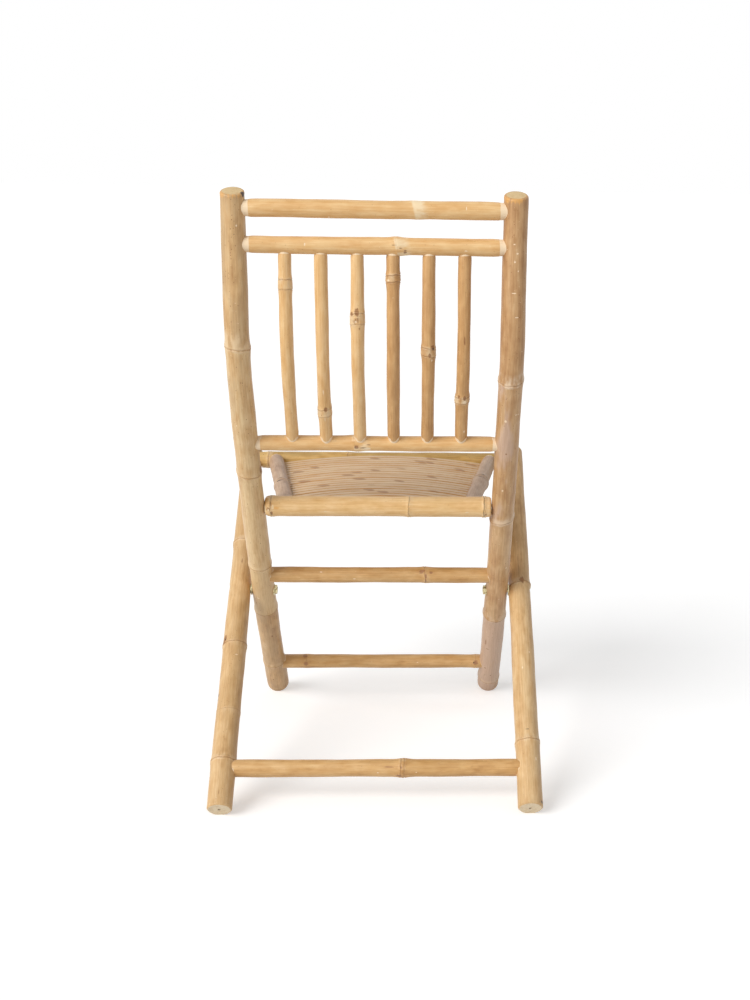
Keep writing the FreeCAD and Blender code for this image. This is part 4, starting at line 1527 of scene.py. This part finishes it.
        # from the sitter's right to left: the node on the posts' curve, finish and blemishes
        rows = (
            (Knot(712, 1.5, 4, 0.45, 1.6, 40, second=9, line=0.6, bud=18, bud_size=4,
                  bloom=0.9, band=10),
             brown, (Mark(708, 18, 3.0, 3.0, MarkKind.CREAM, 0.9), Mark(716, -30, 2.5, 2.0, scar),
                     Mark(655, 24, 3.0, 0.8, MarkKind.CREAM), Mark(800, 5, 9.0, 1.4, scar, 0.8),
                     Mark(800, 5, 6.0, 0.6, MarkKind.CREAM, 1.0))),
            (Knot(786, 1.4, 5, 0.45, 1.8, -50, second=11, line=0.55, bud=38, bud_size=5,
                  bloom=0.9, band=12),
             brown, (Mark(787, 40, 3.5, 2.2, MarkKind.BURN, 0.8), Mark(779, 10, 3.5, 2.6, scar,
                                                                     0.9),
                     Mark(772, 30, 3.0, 1.5, MarkKind.CREAM, 0.9))),
            (Knot(884, 1.3, 5, 0.4, 0.8, 90, second=9, bloom=0.7, band=9), brown,
             (Mark(878, -40, 2.0, 3.0, MarkKind.CREAM, 0.8), Mark(884, 30, 2.0, 3.0, scar, 0.7),
              Mark(855, 0, 1.4, 1.0))),
            (Knot(831, 1.3, 6, 0.35, 2.0, 30, second=14, bud=-4, bud_size=6, line=0.5,
                  bloom=0.8, band=16), gold,
             (Mark(824, -8, 6.5, 5.0, scar, 0.8), Mark(823, -8, 3.0, 2.4, MarkKind.CREAM, 0.9),
              Mark(826, -14, 1.4, 1.8, MarkKind.BURN, 0.6), Mark(833, -48, 3.0, 3.0, scar, 0.85),
              Mark(814, 12, 3.0, 3.5, scar, 0.55))),
            (Knot(690, 1.2, 6, 0.35, 1.8, 60, second=12, line=0.55, bud=10, bud_size=5,
                  bloom=0.9, band=13),
             gold, (Mark(694, 12, 3.0, 3.0, scar, 0.9), Mark(683, -25, 3.0, 2.0, scar, 0.6),
                    Mark(735, -5, 12.0, 1.8, scar, 0.55),
                    Mark(722, -2, 12.0, 1.4, MarkKind.CREAM, 0.75), Mark(676, 0, 6.0, 1.2,
                                                                         MarkKind.CREAM, 0.8))),
            (Knot(876, 1.2, 5, 0.3, 0.8, 0, second=13, line=0.7, bloom=0.8, band=13), gold, ()),
        )
        names = {round(node_middle(f"spindle_{i}")[0].x / MM): f"spindle_{i}"
                 for i in range(1, 7)}
        across = Vector((0.2, 0, 0))
        hosts = (Host(StraightLine(upper - across, upper + across, Vector((0, 1, 0))),
                      upper_size.z / 2, 1.6, 1.5),
                 Host(StraightLine(lower - across, lower + across, Vector((0, 1, 0))),
                      lower_size.z / 2, 3.4, 0.6))
        for order, (place, (knot, finish, marks)) in enumerate(zip(sorted(names), rows)):
            line = BentLine(node_middle(names[place])[0].x, first, last)
            own = replace(knot, at=knot.at - first / MM)
            moved = tuple(replace(mark, at=mark.at - first / MM) for mark in marks)
            Cane(names[place], line, self.spindle_radius, self.spindle_radius, (own,), finish,
                 self.palette.cut, Body.BACK, Slot.SPINDLE, sides=40, seed=21 + order,
                 hosts=hosts, marks=moved).build(self.sweep)

    def build(self) -> None:
        """Makes the whole back frame."""
        self.posts()
        self.rails()
        self.spindles()


@dataclass
class LegFrame:
    """Straight crossed legs and the stretcher between their feet."""

    palette: Palette
    sweep: Tree
    leg_x: float = 0.2229
    rise: float = math.radians(37.6)
    pivot: Vector = field(default_factory=lambda: Vector((0, -0.035888, 0.2455)))
    below: float = 0.382041
    seat_run: float = 0.650829
    run: float = 0.677829
    foot_radius: float = 0.0182
    top_radius: float = 0.0165
    pin_radius: float = 0.004
    pin_in_leg: float = 0.011
    gap: float = 0.00035
    flare: float = math.radians(12.5)
    overcut: float = 0.006
    head_radius: float = 0.0081
    head_recess: float = 0.0055
    pith_radius: float = 0.0025
    pith_depth: float = 0.014
    stretcher_run: float = 0.0655

    @property
    def way(self) -> Vector:
        """Direction of the legs from foot to top."""
        return Vector((0, -math.cos(self.rise), math.sin(self.rise)))

    def radius(self, run: float) -> float:
        """Radius of a leg at a run from its foot."""
        return self.foot_radius + (self.top_radius - self.foot_radius) * run / self.run

    def at(self, run: float, x: float = 0.0) -> Vector:
        """Point on a leg's centre line."""
        point = self.pivot + self.way * (run - self.below)
        return Vector((x, point.y, point.z))

    def line(self, side: int) -> StraightLine:
        """Centre line of the leg on one side."""
        x = side * self.leg_x
        return StraightLine(self.at(0.0, x), self.at(self.run, x), Vector((0, 1, 0)))

    def cutters(self, side: int) -> list[Mesh]:
        """Slot for the seat's pin, seat of the bolt's head, bolt hole and pith hole.

        Args:
            side: 1 for left, -1 for right.

        Returns:
            Closed meshes.
        """
        face = self.leg_x - self.radius(self.seat_run)
        deep = self.pin_in_leg + self.gap
        outward = Vector((side, 0, 0))
        centre = self.at(self.seat_run)
        inner = Vector((side * (face - self.overcut), centre.y, centre.z))
        wide = 2 * (self.pin_radius + self.gap)
        tools = [bar_mesh("slot end", inner, outward, wide / 2, deep + self.overcut)]
        low = face - self.overcut if side > 0 else -(face + deep)
        for more in (0.0, self.flare):
            turn = Matrix.Rotation(math.pi / 2 - self.rise - more, 3, "X")
            corner = Vector((low, centre.y, centre.z)) + turn @ Vector((0, -wide / 2, 0))
            tools.append(block_mesh("slot", corner, turn, (
                deep + self.overcut, wide, self.run - self.seat_run + self.overcut)))
        bolt = Vector((side * (self.leg_x - 0.03), self.pivot.y, self.pivot.z))
        tools.append(bar_mesh("bolt hole", bolt, outward, self.pin_radius + 0.00005, 0.06))
        seat = self.leg_x + self.radius(self.below) - self.head_recess
        tools.append(bar_mesh("head seat", Vector((side * seat, self.pivot.y, self.pivot.z)),
                              outward, self.head_radius, self.head_recess + self.overcut))
        foot = self.at(-0.01, side * self.leg_x)
        tools.append(bar_mesh("pith", foot, self.way, self.pith_radius, self.pith_depth + 0.01,
                              20))
        return tools

    def build(self) -> None:
        """Makes both legs and the rear stretcher."""
        scar = MarkKind.SCAR
        burn = MarkKind.BURN
        left = (Knot(73, 0.9, 9, 0.6, 1.5, 0, bloom=0.6, band=-8),
                Knot(156, 0.3, 7, 0.25, 1.0, 40, line=0.3, bloom=0.2),
                Knot(273, 0.9, 9, 0.5, 2.0, 60, bud=-52, bud_size=9.0, bloom=0.4, band=8),
                Knot(468, 0.9, 9, 0.55, 1.5, 0, bloom=0.5, band=-8))
        right = (Knot(104, 0.9, 9, 0.6, 1.5, 90, bloom=0.5, band=-8),
                 Knot(384, 1.6, 9, 0.6, 4.0, 60, bud=10, bud_size=8.0, bloom=0.6,
                      band=-10))
        left_marks = (
            Mark(184, -66, 3.0, 1.6, burn), Mark(176, -70, 2.2, 1.4, burn),
            Mark(20, -2, 9.0, 0.9, scar, 1.2), Mark(360, -18, 10.0, 2.0, scar, 0.42),
            Mark(372, -2, 12.0, 2.2, scar, 0.4), Mark(398, -12, 9.0, 2.0, scar, 0.42),
            Mark(340, 8, 9.0, 2.4, scar, 0.4), Mark(425, 4, 8.0, 1.8, scar, 0.4),
            Mark(64, 28, 1.2, 1.0, burn, 0.8), Mark(150, 6, 12.0, 2.4, scar, 0.38),
            Mark(250, 20, 1.0, 2.2), Mark(281, -52, 3.0, 2.4, burn, 0.6),
        )
        right_marks = (
            Mark(281, -76, 70.0, 1.3, scar, 1.0), Mark(178, -74, 18.0, 1.2, MarkKind.AMBER, 1.1),
            Mark(255, 30, 2.8, 0.9), Mark(226, -10, 2.0, 0.9), Mark(120, 0, 1.2, 4.0, burn, 0.6),
            Mark(72, 34, 3.0, 1.0), Mark(6, 62, 4.0, 4.5, burn, 0.8),
        )
        rows = (("left", 1, left, left_marks, 31,
                 ((0.0, 0.0), (0.0, 0.3), (-0.1, 0.2), (0.0, 0.3), (-0.2, 0.2))),
                ("right", -1, right, right_marks, 32, ((0.1, 0.0), (0.1, -0.2), (-0.5, 0.2))))
        for label, side, knots, marks, seed, tones in rows:
            Cane(f"leg_{label}", self.line(side), self.foot_radius, self.top_radius, knots,
                 self.palette.leg, self.palette.cut, Body.LEGS, Slot.LEG,
                 start=EndCap(2.0, False), end=EndCap(9.0), sides=72, seed=seed, marks=marks,
                 tones=tones, cutters=self.cutters(side), floor=True).build(self.sweep)
        middle, size = node_middle("rear_stretcher")
        host = self.radius(self.stretcher_run)
        reach = self.leg_x - REACH_IN * host
        line = StraightLine(Vector((-reach, middle.y, middle.z)),
                            Vector((reach, middle.y, middle.z)), Vector((0, 1, 0)))
        centre = reach / MM
        knots = (Knot(centre - 37, 1.3, 8, 0.35, 1.0, 0, second=5, bud=-30, bud_size=5.0,
                      line=0.5, bloom=0.5),)
        marks = (Mark(centre - 18, 34, 12.0, 2.2, scar, 0.8), Mark(centre - 36, 30, 3.0, 4.0,
                                                                  scar, 0.8),
                 Mark(centre - 2, -8, 1.6, 0.9), Mark(centre - 58, -6, 2.0, 0.9),
                 Mark(centre + 110, 22, 8.0, 1.6, MarkKind.AMBER, 0.7))
        Cane("rear_stretcher", line, size.z / 2, size.z / 2, knots, self.palette.stretcher,
             self.palette.cut, Body.LEGS, Slot.RAIL, sides=48, seed=33, marks=marks,
             tones=((-0.2, 0.3), (0.1, 0.0)),
             hosts=tuple(Host(self.line(side), host, 0.4, 0.4) for side in (1, -1))
             ).build(self.sweep)


def slat_tree() -> Tree:
    """Geometry nodes that lay the row of crowned slats.

    Returns:
        Tree with the slats' sizes, the seat's place and a seed as its inputs.
    """
    tree = bpy.data.node_groups.new("slat row", "GeometryNodeTree")
    face = tree.interface
    for name, kind in (("Count", "Int"), ("First", "Float"), ("Pitch", "Float"),
                       ("Width", "Float"), ("Thickness", "Float"), ("Crown", "Float"),
                       ("End Height", "Float"), ("Rear Half", "Float"), ("Spread", "Float"),
                       ("Steps", "Int"), ("Place", "Vector"), ("Tilt", "Vector"),
                       ("Seed", "Int"), ("Wood", "Material")):
        face.new_socket(name, in_out="INPUT", socket_type=f"NodeSocket{kind}")
    face.new_socket("Slats", in_out="OUTPUT", socket_type="NodeSocketGeometry")
    given = add_node(tree, "NodeGroupInput").outputs

    def maths(operation: str, first: Value, second: Value = 0.0) -> Socket:
        """Result of an operation on two numbers.

        Args:
            operation: Name of the operation.
            first: Number or socket.
            second: Number or socket.

        Returns:
            Number socket.
        """
        return add_node(tree, "ShaderNodeMath", {0: first, 1: second},
                        operation=operation).outputs[0]

    def vector(x: Value, y: Value, z: Value) -> Socket:
        """Vector from three numbers."""
        return add_node(tree, "ShaderNodeCombineXYZ", {"X": x, "Y": y, "Z": z}).outputs[0]

    def store(geometry: Socket, name: str, kind: str, value: Socket) -> Socket:
        """Stores a named attribute on the points.

        Args:
            geometry: Geometry socket.
            name: Name of the attribute.
            kind: Data type.
            value: Socket with the values.

        Returns:
            Geometry socket.
        """
        return add_node(tree, "GeometryNodeStoreNamedAttribute",
                        {"Geometry": geometry, "Name": name, "Value": value},
                        data_type=kind, domain="POINT").outputs[0]

    def named(name: str, kind: str = "FLOAT") -> Socket:
        """Socket that reads a named attribute."""
        return add_node(tree, "GeometryNodeInputNamedAttribute", {"Name": name},
                        data_type=kind).outputs["Attribute"]

    # section: a circle squared off, with a cambered upper face
    ring = add_node(tree, "GeometryNodeCurvePrimitiveCircle", {"Resolution": 20, "Radius": 1.0})
    spot = add_node(tree, "ShaderNodeSeparateXYZ",
                    {0: add_node(tree, "GeometryNodeInputPosition").outputs[0]}).outputs
    squared = []
    for axis, power in (("X", 0.38), ("Y", 0.5)):
        bulk = maths("POWER", maths("ABSOLUTE", spot[axis]), power)
        squared.append(maths("MULTIPLY", bulk, maths("SIGN", spot[axis])))
    across = squared[0]
    camber = maths("MULTIPLY", maths("SUBTRACT", 1.0, maths("MULTIPLY", across, across)),
                   CAMBER)
    high = maths("ADD", squared[1], camber)
    section = store(ring.outputs["Curve"], "across", "FLOAT", across)
    flat = vector(maths("MULTIPLY", across, maths("MULTIPLY", given["Width"], 0.5)),
                  maths("MULTIPLY", high, maths("MULTIPLY", given["Thickness"], 0.5)), 0.0)
    section = add_node(tree, "GeometryNodeSetPosition", {"Geometry": section,
                                                         "Position": flat}).outputs[0]

    path = add_node(tree, "GeometryNodeCurvePrimitiveLine", {"Start": (-1, 0, 0),
                                                             "End": (1, 0, 0)})
    path = add_node(tree, "GeometryNodeResampleCurve", {"Curve": path.outputs["Curve"],
                                                        "Count": given["Steps"]})
    strip = add_node(tree, "GeometryNodeCurveToMesh",
                     {"Curve": path.outputs["Curve"], "Profile Curve": section, "Scale": 1.0,
                      "Fill Caps": True})

    # one point a slat, from the rear rail forwards
    index = add_node(tree, "GeometryNodeInputIndex").outputs[0]
    row = add_node(tree, "GeometryNodeMeshLine", {"Count": given["Count"]})
    points = store(row.outputs["Mesh"], "slat", "FLOAT", index)
    forward = maths("ADD", given["First"],
                    maths("MULTIPLY", maths("ADD", index, 0.5), given["Pitch"]))
    half = maths("ADD", given["Rear Half"], maths("MULTIPLY", forward, given["Spread"]))
    points = store(points, "half", "FLOAT", half)
    jitter = add_node(tree, "FunctionNodeRandomValue",
                      {"Min": (-1, -0.00022, -0.0003), "Max": (1, 0.00022, 0.0003),
                       "ID": index, "Seed": given["Seed"]}, data_type="FLOAT_VECTOR")
    points = store(points, "jitter", "FLOAT_VECTOR", jitter.outputs[0])
    points = add_node(tree, "GeometryNodeSetPosition",
                      {"Geometry": points,
                       "Position": vector(0.0, maths("MULTIPLY", forward, -1.0),
                                          0.0)}).outputs[0]
    laid = add_node(tree, "GeometryNodeInstanceOnPoints",
                    {"Points": points, "Instance": strip.outputs["Mesh"],
                     "Scale": vector(named("half"), 1.0, 1.0)})
    whole = add_node(tree, "GeometryNodeRealizeInstances",
                     {"Geometry": laid.outputs["Instances"]}).outputs[0]

    # crown: an arc through both ends and the middle
    here = add_node(tree, "ShaderNodeSeparateXYZ",
                    {0: add_node(tree, "GeometryNodeInputPosition").outputs[0]}).outputs
    span = named("half")
    rise = given["Crown"]
    radius = maths("DIVIDE", maths("ADD", maths("MULTIPLY", span, span),
                                   maths("MULTIPLY", rise, rise)),
                   maths("MULTIPLY", rise, 2.0))
    drop = maths("SUBTRACT", radius,
                 maths("SQRT", maths("SUBTRACT", maths("MULTIPLY", radius, radius),
                                     maths("MULTIPLY", here["X"], here["X"]))))
    lift = maths("ADD", maths("SUBTRACT", rise, drop),
                 maths("SUBTRACT", given["End Height"],
                       maths("MULTIPLY", given["Thickness"], 0.5 * (1 + CAMBER))))
    own = add_node(tree, "ShaderNodeSeparateXYZ", {0: named("jitter", "FLOAT_VECTOR")}).outputs
    bow = maths("MULTIPLY", maths("SINE", maths("MULTIPLY", here["X"], 14.0)), own["Y"])
    whole = store(whole, "grain", "FLOAT_VECTOR",
                  vector(maths("ADD", here["X"], own["X"]), here["Y"],
                         maths("ADD", here["Z"], own["X"])))
    moved = add_node(tree, "GeometryNodeSetPosition",
                     {"Geometry": whole,
                      "Offset": vector(0.0, bow, maths("ADD", lift, own["Z"]))}).outputs[0]
    placed = add_node(tree, "GeometryNodeTransform",
                      {"Geometry": moved, "Translation": given["Place"],
                       "Rotation": given["Tilt"]}).outputs[0]
    skinned = add_node(tree, "GeometryNodeSetMaterial",
                       {"Geometry": placed, "Material": given["Wood"]}).outputs[0]
    add_node(tree, "NodeGroupOutput", {"Slats": skinned})
    return tree


@dataclass
class Seat:
    """Seat frame of four canes with a row of crowned slats and a lath under them."""

    palette: Palette
    sweep: Tree
    legs: LegFrame
    hinge: Vector = field(default_factory=lambda: Vector((0, 0.073486, 0.4112)))
    depth: float = 0.32234
    tilt: float = math.radians(-0.302)
    rear_radius: float = 0.0152
    front_radius: float = 0.014
    side_rear_radius: float = 0.0116
    side_front_radius: float = 0.0125
    side_rear_x: float = 0.1364
    side_front_x: float = 0.1826
    slat_count: int = 19
    slat_gap: float = 0.0013
    end_gap: float = 0.00407
    thickness: float = 0.0034
    crown: float = 0.0134
    end_height: float = -0.0004
    tuck: float = 0.006
    groove_gap: float = 0.0005
    steps: int = 121

    # which slat, counted from the rear, has a node mark, and how far to the sitter's left
    MARKS = ((18, 13), (17, -64), (17, -78), (19, -81), (18, -150), (15, 111), (14, 138),
             (12, 11), (15, -128), (11, 38), (10, 53), (10, -81), (9, 123), (8, 34), (7, -30),
             (6, 88), (3, 16), (2, -6))

    SHARP = math.radians(50)

    def at(self, x: float, forward: float, above: float) -> Vector:
        """Point in the seat's frame, forward of the hinge and above the seat's plane."""
        turn = Matrix.Rotation(-self.tilt, 3, "X")
        return self.hinge + turn @ Vector((x, -forward, above))

    def rear_rail(self) -> None:
        """Rear rail with a whittled left end and a turned-down right end."""
        low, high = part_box("seat_rear_rail")
        line = StraightLine(Vector((low.x, self.hinge.y, self.hinge.z)),
                            Vector((high.x, self.hinge.y, self.hinge.z)), Vector((0, 1, 0)))
        middle = (high.x - low.x) / 2 / MM
        right = 2 * middle
        knots = (Knot(9.5, 0.5, 3, 0.7, 0.6, 0, line=0.9, bloom=0.6, band=8),
                 Knot(middle - 47, 0.5, 6, 0.4, 0.8, 0, line=0.7, bloom=0.4),
                 Knot(right - 12, 0.7, 7, 0.5, 2.5, 20, line=0.5, bloom=0.7, band=2))
        scar = MarkKind.SCAR
        cream = MarkKind.CREAM
        marks = (Mark(right - 6, -6, 3.6, 4.2, scar, 0.8), Mark(right - 6, -10, 1.8, 2.4, cream),
                 Mark(right - 11, -30, 2.0, 3.6, scar, 0.9), Mark(right - 10, 25, 1.6, 5.0, scar,
                                                                 0.9),
                 Mark(right - 13, 8, 1.2, 6.0, cream, 0.9), Mark(right - 18, 4, 5.0, 2.6,
                                                                MarkKind.AMBER, 0.9),
                 Mark(right - 1, -10, 1.8, 8.0, cream, 0.9), Mark(right - 11, -38, 1.0, 3.0,
                                                                 MarkKind.BURN, 0.8),
                 Mark(right - 90, -20, 2.0, 1.0), Mark(8, -35, 1.4, 3.0, scar, 0.8),
                 Mark(middle - 132, -20, 2.6, 1.4), Mark(right - 60, -12, 9.0, 1.2, scar, 0.3))
        Cane("seat_rear_rail", line, self.rear_radius, self.rear_radius, knots,
             self.palette.seat_rail, self.palette.cut, Body.SEAT, Slot.RAIL,
             start=EndCap(3.4), end=EndCap(6.0), sides=56, seed=41,
             marks=marks).build(self.sweep)

    def front_rail(self) -> None:
        """Front rail, hollowed towards the legs with room to lift off them."""
        front = self.at(0.0, self.depth, 0.0)
        reach = self.legs.leg_x
        line = StraightLine(Vector((-reach, front.y, front.z)), Vector((reach, front.y, front.z)),
                            Vector((0, 1, 0)))
        tools = []
        face = reach - self.legs.radius(self.legs.seat_run) - self.legs.gap
        long = 4 * self.legs.top_radius
        turn = Matrix.Rotation(math.pi / 2 - self.legs.rise, 3, "X")
        for side in (1, -1):
            base = self.legs.at(self.legs.seat_run - long, side * reach)
            tools.append(bar_mesh("leg hollow", base, self.legs.way,
                                  self.legs.radius(self.legs.seat_run) + self.legs.gap,
                                  2 * long))
            low = face if side > 0 else -face - long
            corner = Vector((low, front.y, front.z)) + turn @ Vector((0, -long, -long))
            tools.append(block_mesh("leg side", corner, turn, (long, long, 2 * long)))
        knots = (Knot((reach + 0.0587) / MM, 0.5, 7, 0.4, 1.0, 0, line=0.8, bloom=0.4),
                 Knot((reach + 0.193) / MM, 0.5, 6, 0.4, 1.0, 0, line=0.8, bloom=0.5))
        Cane("seat_front_rail", line, self.front_radius, self.front_radius, knots,
             self.palette.front_rail, self.palette.cut, Body.SEAT, Slot.FRONT_RAIL, sides=48,
             seed=42, cutters=tools, tones=((-0.1, 0.4), (0.0, 0.2), (0.4, -0.3))
             ).build(self.sweep)

    def side_rails(self) -> None:
        """Side rails between the front and the rear rail, grooved for the slats."""
        slope = 2 * self.crown / (self.side_rear_x - self.side_rear_radius)
        in_groove = self.tuck + 2 * self.groove_gap
        low = self.end_height - self.thickness - self.groove_gap
        high = self.end_height + slope * in_groove + self.groove_gap
        rows = (("left", 1, Knot(127, 1.0, 8, 0.6, 0, 0, bud=-10, bud_size=5, dip=-7, bloom=0.2),
                 51), ("right", -1, Knot(156, 1.3, 8, 0.7, 0, 0, bud=20, bud_size=5, dip=-8,
                                         bloom=0.2), 52))
        for label, side, knot, seed in rows:
            start = self.at(side * self.side_rear_x, 0.0, 0.0)
            end = self.at(side * self.side_front_x, self.depth, 0.0)
            line = StraightLine(start, end, Vector((0, 0, 1)))
            way = line.way
            inward = Vector((-side, 0, 0))
            inward = (inward - way * inward.dot(way)).normalized()
            up = Vector((0, 0, 1))
            along = up.cross(inward)
            turn = Matrix((inward, along, up)).transposed()
            corner = start + inward * (self.side_rear_radius - in_groove) + up * low
            if along.dot(way) < 0:
                corner += way * line.length
            groove = block_mesh("slat groove", corner, turn, (0.02, line.length, high - low))
            hosts = tuple(
                Host(StraightLine(self.at(-0.2, forward, 0), self.at(0.2, forward, 0),
                                  Vector((0, 0, 1))), radius, 1.6, 0.5)
                for forward, radius in ((0, self.rear_radius), (self.depth, self.front_radius)))
            Cane(f"seat_side_rail_{label}", line, self.side_rear_radius,
                 self.side_front_radius, (knot,), self.palette.side_rail, self.palette.cut,
                 Body.SEAT, Slot.SIDE_RAIL, sides=48, seed=seed, cutters=[groove],
                 hosts=hosts, marks=(Mark(knot.at - 5, knot.bud, 3.0, 8.0, MarkKind.BURN, 0.7),),
                 groove=(knot.at + 4, knot.at + 120, knot.bud, 0.9)).build(self.sweep)

    def slats(self) -> None:
        """Row of crowned slats, one object for all of them."""
        first = self.rear_radius + self.end_gap
        last = self.depth - self.front_radius - self.end_gap
        pitch = (last - first) / self.slat_count
        width = pitch - self.slat_gap
        spread = (self.side_front_x - self.side_rear_x) / self.depth
        taper = (self.side_front_radius - self.side_rear_radius) / self.depth
        rear_half = self.side_rear_x - self.side_rear_radius + self.tuck - spread * width / 2
        values = {"Count": self.slat_count, "First": first, "Pitch": pitch, "Width": width,
                  "Thickness": self.thickness / (1 + CAMBER / 2), "Crown": self.crown,
                  "End Height": self.end_height, "Rear Half": rear_half,
                  "Spread": spread - taper, "Steps": self.steps, "Place": tuple(self.hinge),
                  "Tilt": (-self.tilt, 0.0, 0.0), "Seed": 7, "Wood": self.palette.slat}
        obj = grown("seat_slats", bpy.data.meshes.new("seat_slats"), slat_tree(), values)
        mesh = obj.data
        slat = np.zeros(len(mesh.vertices), np.float32)
        mesh.attributes["slat"].data.foreach_get("value", slat)
        x = vertices_of(mesh)[:, 0] / MM
        across = np.zeros(len(x), np.float32)
        mesh.attributes["across"].data.foreach_get("value", across)
        mark = np.zeros(len(x))
        rng = np.random.default_rng(17)
        marks = [(n, m, 1.0) for n, m in self.MARKS]
        marks += [(n, rng.uniform(-120, 120), 0.62) for n in (1, 4, 5, 13, 16)]
        for place, middle, strength in marks:
            slid = x - middle - 4.0 * across
            lens = np.clip(1.3 - 1.0 * (slid / rng.uniform(8.0, 12.0)) ** 2
                           - 0.55 * (across - rng.uniform(-0.5, 0.5)) ** 2, 0, 1)
            mark = np.maximum(mark, strength * lens * (np.round(slat) == place - 1))
        set_attribute(mesh, "mark", "FLOAT", mark)
        mesh.polygons.foreach_set("use_smooth", np.ones(len(mesh.polygons), bool))
        mesh.set_sharp_from_angle(angle=self.SHARP)
        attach(obj, Body.SEAT.value)
        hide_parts(*[f"slat_{i:02d}" for i in range(1, self.slat_count + 1)])
        LOG.info("seat_slats: %d faces", len(mesh.polygons))

    def build(self) -> None:
        """Makes the whole seat."""
        self.rear_rail()
        self.front_rail()
        self.side_rails()
        self.slats()


@dataclass
class Hardware:
    """Bolts, washers, nuts, spacers and pins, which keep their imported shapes."""

    palette: Palette

    def build(self) -> None:
        """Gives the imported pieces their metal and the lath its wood."""
        rows = {"bolt": self.palette.zinc, "washer": self.palette.zinc,
                "nut": self.palette.zinc, "spacer": self.palette.zinc,
                "hinge_pin": self.palette.pin, "slot_pin": self.palette.pin}
        for stem, material in rows.items():
            for side in ("left", "right"):
                self.dress(f"{stem}_{side}", material)
        self.dress("seat_batten", self.palette.batten)

    def dress(self, name: str, material: Material) -> None:
        """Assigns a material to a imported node.

        Args:
            name: Node to dress.
            material: Material for it.
        """
        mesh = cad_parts[name].data
        if not mesh.materials:
            mesh.materials.append(material)
        for index in range(len(mesh.materials)):
            mesh.materials[index] = material
        LOG.info("%s: %s", name, material.name)


# ---------- stage


@dataclass
class Studio:
    """White floor, soft light and the camera behind the chair."""

    camera_place: tuple[float, float, float] = (-0.0534, 2.0823, 0.9290)
    yaw: float = 0.0481
    pitch: float = 0.2706
    roll: float = 0.0172
    lens: float = 49.929
    shift: tuple[float, float] = (-0.10347, 0.03264)
    ambient: float = 0.43
    key_power: float = 2.5
    key_angle: float = math.radians(38)
    key_from: tuple[float, float, float] = (0.74, 0.64, 0.62)
    floor_half: float = 30.0
    floor_glow: float = 0.38

    def camera(self) -> None:
        """Camera at the photograph's viewing angle."""
        data = bpy.data.cameras.new("camera")
        data.sensor_width = 36.0
        data.lens = self.lens
        data.shift_x, data.shift_y = self.shift
        data.clip_end = 50.0
        camera = bpy.data.objects.new("camera", data)
        ahead = Vector((-math.sin(self.yaw) * math.cos(self.pitch),
                        -math.cos(self.yaw) * math.cos(self.pitch), -math.sin(self.pitch)))
        level = ahead.to_track_quat("-Z", "Y").to_matrix()
        turn = level @ Matrix.Rotation(self.roll, 3, "Z")
        camera.matrix_world = Matrix.Translation(self.camera_place) @ turn.to_4x4()
        bpy.context.scene.collection.objects.link(camera)
        bpy.context.scene.camera = camera

    def sun(self) -> None:
        """Broad key light from behind the camera, on its left."""
        data = bpy.data.lights.new("key", "SUN")
        data.energy = self.key_power
        data.angle = self.key_angle
        lamp = bpy.data.objects.new("key", data)
        lamp.rotation_euler = Vector(self.key_from).to_track_quat("Z", "Y").to_euler()
        bpy.context.scene.collection.objects.link(lamp)

    def floor(self) -> None:
        """Plain white floor that keeps the chair's shadow."""
        mesh = bpy.data.meshes.new("floor")
        wide = self.floor_half
        mesh.from_pydata([(-wide, -wide, 0), (wide, -wide, 0), (wide, wide, 0),
                          (-wide, wide, 0)], [], [(0, 1, 2, 3)])
        floor = bpy.data.objects.new("floor", mesh)
        bpy.context.scene.collection.objects.link(floor)
        material, tree, shader = new_material("white studio floor")
        shader.inputs["Base Color"].default_value = (0.8, 0.8, 0.8, 1.0)
        shader.inputs["Roughness"].default_value = 0.9
        shader.inputs["Specular IOR Level"].default_value = 0.2
        rays = add_node(tree, "ShaderNodeLightPath").outputs
        seen = number(tree, "MAXIMUM", rays["Is Camera Ray"], rays["Is Glossy Ray"])
        glow = add_node(tree, "ShaderNodeEmission",
                        {"Color": (1, 1, 1, 1),
                         "Strength": number(tree, "MULTIPLY", seen, self.floor_glow)})
        both = add_node(tree, "ShaderNodeAddShader", {0: shader.outputs["BSDF"],
                                                      1: glow.outputs["Emission"]})
        out = next(n for n in tree.nodes if n.type == "OUTPUT_MATERIAL")
        tree.links.new(both.outputs[0], out.inputs["Surface"])
        mesh.materials.append(material)

    def world(self) -> None:
        """Even white surroundings, pure white where the camera sees them."""
        world = bpy.data.worlds.new("studio")
        world.use_nodes = True
        tree = world.node_tree
        tree.nodes.clear()
        rays = add_node(tree, "ShaderNodeLightPath").outputs
        seen = number(tree, "MAXIMUM", rays["Is Camera Ray"], rays["Is Glossy Ray"])
        seen = number(tree, "MAXIMUM", seen, rays["Is Transmission Ray"])
        rest = number(tree, "MULTIPLY", seen, 1.0 - self.ambient)
        strength = number(tree, "ADD", rest, self.ambient)
        light = add_node(tree, "ShaderNodeBackground", {"Color": (1, 1, 1, 1),
                                                        "Strength": strength})
        add_node(tree, "ShaderNodeOutputWorld", {"Surface": light.outputs[0]})
        bpy.context.scene.world = world

    def build(self) -> None:
        """Sets the whole stage."""
        self.camera()
        self.world()
        self.floor()
        self.sun()
        bpy.context.scene.view_settings.view_transform = "Standard"


def main() -> None:
    """Builds the chair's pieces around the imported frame."""
    logging.basicConfig(level=logging.INFO, format="%(name)s %(message)s")
    Studio().build()
    palette = Palette()
    sweep = sweep_tree()
    BackFrame(palette, sweep).build()
    legs = LegFrame(palette, sweep)
    legs.build()
    Seat(palette, sweep, legs).build()
    Hardware(palette).build()


if __name__ == "__main__":
    main()
